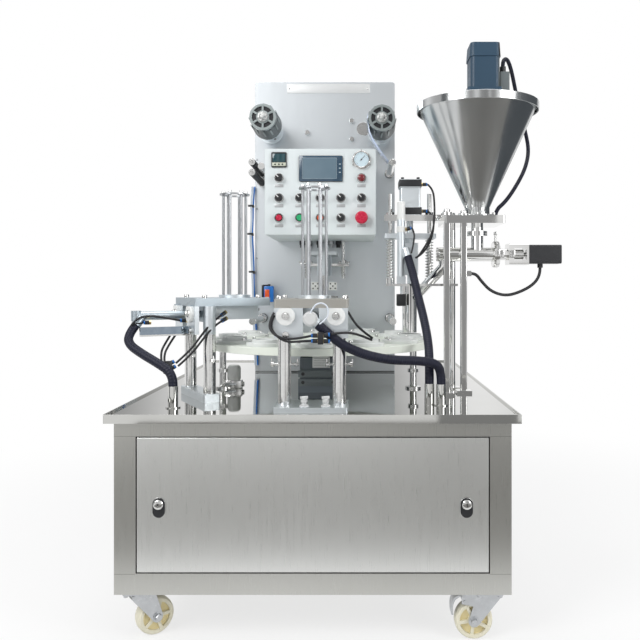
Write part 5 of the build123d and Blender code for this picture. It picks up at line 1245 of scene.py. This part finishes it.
# %% Nuts and clamps of the tower
HOPPER_X = 0.363                      # the cone's axis
AUGER_Y, AUGER_Z = -0.2085, 0.973     # the auger barrel's axis
CLAMP_X = 0.418
bm = bmesh.new()
for x, y in ((0.262, -0.2865), (0.292, -0.1725), (0.317, -0.2445)):
    turned(bm, [(0, 0.018), (0.0085, 0.018), (0.0095, 0.016), (0.0095, 0.010), (0.0150, 0.009),
                (0.0160, 0.007), (0.0160, 0), (0, 0)], (x, y, 1.083), UP, 28)
for angle in range(0, 360, 60):
    turn = radians(angle + 20)
    screw(bm, (HOPPER_X + cos(turn) * 0.056, AUGER_Y + sin(turn) * 0.056, 1.089), UP, 0.0055)
for x in GUIDES:
    turned(bm, [(0.0068, 0), (0.0125, 0.001), (0.0125, 0.011), (0.0068, 0.012), (0.0068, 0)],
           (x, FILL.y, 1.095), UP, 28)
place_piece(bm, "tower_nuts", turned_steel)
bm = bmesh.new()
for x in (0.430, 0.462):
    for k in (-1, 1):
        block(bm, (x, AUGER_Y - 0.0365 * k, AUGER_Z), (0.013, 0.009, 0.022), soft=0.001)
turned(bm, [(0.0350, -0.008), (0.0385, -0.008), (0.0400, -0.004), (0.0400, 0.004), (0.0385, 0.008),
            (0.0350, 0.008), (0.0350, -0.008)], (CLAMP_X, AUGER_Y, AUGER_Z), (1, 0, 0), 48)
rod(bm, (CLAMP_X, AUGER_Y, 1.012), (CLAMP_X, AUGER_Y, 1.034), 0.0035, 14)
block(bm, (CLAMP_X, AUGER_Y, 1.036), (0.006, 0.028, 0.010), soft=0.0015)
place_piece(bm, "auger_clamps", turned_steel)

# %% [markdown]
# ## Light and floor
# The studio is plain and pale. Three large lamps light the machine from the left, the right and above.
# The camera sees the background as pure white. Mirrors see it white too, but with a few soft upright
# bands, and dark cards that nothing else sees stand round the machine, because polished steel that
# reflects only white looks like paper.

# %% Floor
floor_mesh = bpy.data.meshes.new("floor")
floor_bm = bmesh.new()
bmesh.ops.create_grid(floor_bm, x_segments=1, y_segments=1, size=14)
floor_bm.to_mesh(floor_mesh)
floor_bm.free()
floor = bpy.data.objects.new("floor", floor_mesh)
scene.collection.objects.link(floor)

# %% The floor's finish
# The floor takes shadows near the machine. Further out the camera and mirrors see it as pure white.
pale = bpy.data.materials.new("pale_floor")
pale.use_nodes = True
nodes, links = pale.node_tree.nodes, pale.node_tree.links
nodes.remove(nodes["Principled BSDF"])
matt = nodes.new("ShaderNodeBsdfDiffuse")
matt.inputs["Color"].default_value = (0.86, 0.86, 0.86, 1)
white = nodes.new("ShaderNodeEmission")
white.inputs["Strength"].default_value = 1.0
rays = nodes.new("ShaderNodeLightPath")
reach = nodes.new("ShaderNodeVectorMath")
reach.operation = "LENGTH"
spot = nodes.new("ShaderNodeTexCoord")
links.new(spot.outputs["Object"], reach.inputs[0])
fade = nodes.new("ShaderNodeMapRange")
fade.interpolation_type = "SMOOTHSTEP"
fade.inputs["From Min"].default_value = 0.7
fade.inputs["From Max"].default_value = 2.4
fade.inputs["To Min"].default_value = 0.70
fade.inputs["To Max"].default_value = 1.0
links.new(reach.outputs["Value"], fade.inputs["Value"])
share = nodes.new("ShaderNodeMath")
share.operation = "MULTIPLY"
links.new(fade.outputs["Result"], share.inputs[1])
both = nodes.new("ShaderNodeMixShader")
seen = nodes.new("ShaderNodeMath")
seen.operation = "MAXIMUM"
links.new(rays.outputs["Is Camera Ray"], seen.inputs[0])
links.new(rays.outputs["Is Glossy Ray"], seen.inputs[1])
links.new(seen.outputs["Value"], share.inputs[0])
links.new(share.outputs["Value"], both.inputs["Fac"])
links.new(matt.outputs["BSDF"], both.inputs[1])
links.new(white.outputs["Emission"], both.inputs[2])
links.new(both.outputs["Shader"], nodes["Material Output"].inputs["Surface"])
floor_mesh.materials.append(pale)

# %% Sky over the lamps
# Pale above and darker below, times soft upright bands.
world = bpy.data.worlds.new("studio")
scene.world = world
world.use_nodes = True
nodes, links = world.node_tree.nodes, world.node_tree.links
sky = nodes["Background"]
place = nodes.new("ShaderNodeTexCoord")
split = nodes.new("ShaderNodeSeparateXYZ")
links.new(place.outputs["Generated"], split.inputs["Vector"])
rise = nodes.new("ShaderNodeValToRGB")
rise.color_ramp.elements[0].position = 0.30
rise.color_ramp.elements[0].color = (0.42, 0.42, 0.41, 1)
rise.color_ramp.elements[1].position = 0.72
rise.color_ramp.elements[1].color = (0.95, 0.96, 0.97, 1)
lift = nodes.new("ShaderNodeMath")
lift.operation = "MULTIPLY_ADD"
lift.inputs[1].default_value = 0.5
lift.inputs[2].default_value = 0.5
links.new(split.outputs["Z"], lift.inputs[0])
links.new(lift.outputs["Value"], rise.inputs["Fac"])
bands = nodes.new("ShaderNodeTexWave")
bands.bands_direction = "X"
bands.inputs["Scale"].default_value = 0.9
bands.inputs["Distortion"].default_value = 1.2
bands.inputs["Detail"].default_value = 2.0
links.new(place.outputs["Generated"], bands.inputs["Vector"])
shade = nodes.new("ShaderNodeMapRange")
shade.inputs["To Min"].default_value = 0.35
shade.inputs["To Max"].default_value = 1.0
links.new(bands.outputs["Fac"], shade.inputs["Value"])
mix = nodes.new("ShaderNodeMix")
mix.data_type = "RGBA"
mix.blend_type = "MULTIPLY"
mix.inputs["Factor"].default_value = 1.0
links.new(rise.outputs["Color"], mix.inputs["A"])
links.new(shade.outputs["Result"], mix.inputs["B"])
links.new(mix.outputs["Result"], sky.inputs["Color"])
sky.inputs["Strength"].default_value = 0.75

# %% What the camera and mirrors see of the sky
# White for the camera and through glass, and white times the bands for mirrors.
blank = nodes.new("ShaderNodeBackground")
blank.inputs["Color"].default_value = (1, 1, 1, 1)
tint = nodes.new("ShaderNodeMix")
tint.data_type = "RGBA"
tint.inputs["A"].default_value = (1, 1, 1, 1)
pick = nodes.new("ShaderNodeMixShader")
rays = nodes.new("ShaderNodeLightPath")
links.new(rays.outputs["Is Glossy Ray"], tint.inputs["Factor"])
links.new(shade.outputs["Result"], tint.inputs["B"])
links.new(tint.outputs["Result"], blank.inputs["Color"])
seen = nodes.new("ShaderNodeMath")
seen.operation = "ADD"
links.new(rays.outputs["Is Camera Ray"], seen.inputs[0])
links.new(rays.outputs["Is Glossy Ray"], seen.inputs[1])
also = nodes.new("ShaderNodeMath")
also.operation = "ADD"
also.use_clamp = True
links.new(seen.outputs["Value"], also.inputs[0])
links.new(rays.outputs["Is Transmission Ray"], also.inputs[1])
links.new(also.outputs["Value"], pick.inputs["Fac"])
links.new(sky.outputs["Background"], pick.inputs[1])
links.new(blank.outputs["Background"], pick.inputs[2])
links.new(pick.outputs["Shader"], nodes["World Output"].inputs["Surface"])


# %% Lamps
def lamp(name, place, aim, width, height, power):
    """A rectangular lamp that points at a place."""
    light = bpy.data.lights.new(name, "AREA")
    light.shape = "RECTANGLE"
    light.size = width
    light.size_y = height
    light.energy = power
    piece = bpy.data.objects.new(name, light)
    piece.location = place
    piece.rotation_euler = (Vector(aim) - Vector(place)).to_track_quat("-Z", "Y").to_euler()
    scene.collection.objects.link(piece)


lamp("key", (-2.2, -2.6, 2.6), (0, 0, 0.9), 1.6, 1.6, 66)
lamp("fill", (2.4, -2.0, 1.8), (0, 0, 0.9), 1.4, 1.8, 40)
lamp("top", (0, 0.2, 3.6), (0, 0, 0.6), 2.4, 1.8, 44)
print("lamps:", [light.name for light in bpy.data.lights])


# %% Dark cards
def card(name, centre, size, facing, grey):
    """A plain card that only reflections show."""
    card_mesh = bpy.data.meshes.new(name)
    card_bm = bmesh.new()
    bmesh.ops.create_grid(card_bm, x_segments=1, y_segments=1, size=0.5)
    bmesh.ops.scale(card_bm, vec=(*size, 1), verts=card_bm.verts)
    turn = Vector(facing).to_track_quat("Z", "Y").to_matrix().to_4x4()
    bmesh.ops.transform(card_bm, matrix=Matrix.Translation(centre) @ turn, verts=card_bm.verts)
    card_bm.to_mesh(card_mesh)
    card_bm.free()
    made = bpy.data.materials.new(name)
    made.use_nodes = True
    shader = made.node_tree.nodes["Principled BSDF"]
    shader.inputs["Base Color"].default_value = (0, 0, 0, 1)
    shader.inputs["Emission Color"].default_value = (*grey, 1)
    shader.inputs["Emission Strength"].default_value = 1.0
    card_mesh.materials.append(made)
    piece = bpy.data.objects.new(name, card_mesh)
    scene.collection.objects.link(piece)
    piece.visible_camera = False
    piece.visible_diffuse = False
    piece.visible_transmission = False
    piece.visible_shadow = False


card("floor_card", (1.3, -2.3, 0.01), (5.4, 2.4), UP, (0.19, 0.185, 0.175))
card("right_card", (2.3, 0.0, 1.2), (3.0, 2.4), (-1, -0.15, 0), (0.07, 0.08, 0.09))
card("left_card", (-2.3, -1.2, 1.2), (0.7, 2.6), (1, 0.3, 0), (0.06, 0.07, 0.08))
card("front_card", (0.75, -3.4, 1.3), (0.5, 2.8), (0, 1, 0), (0.30, 0.30, 0.30))
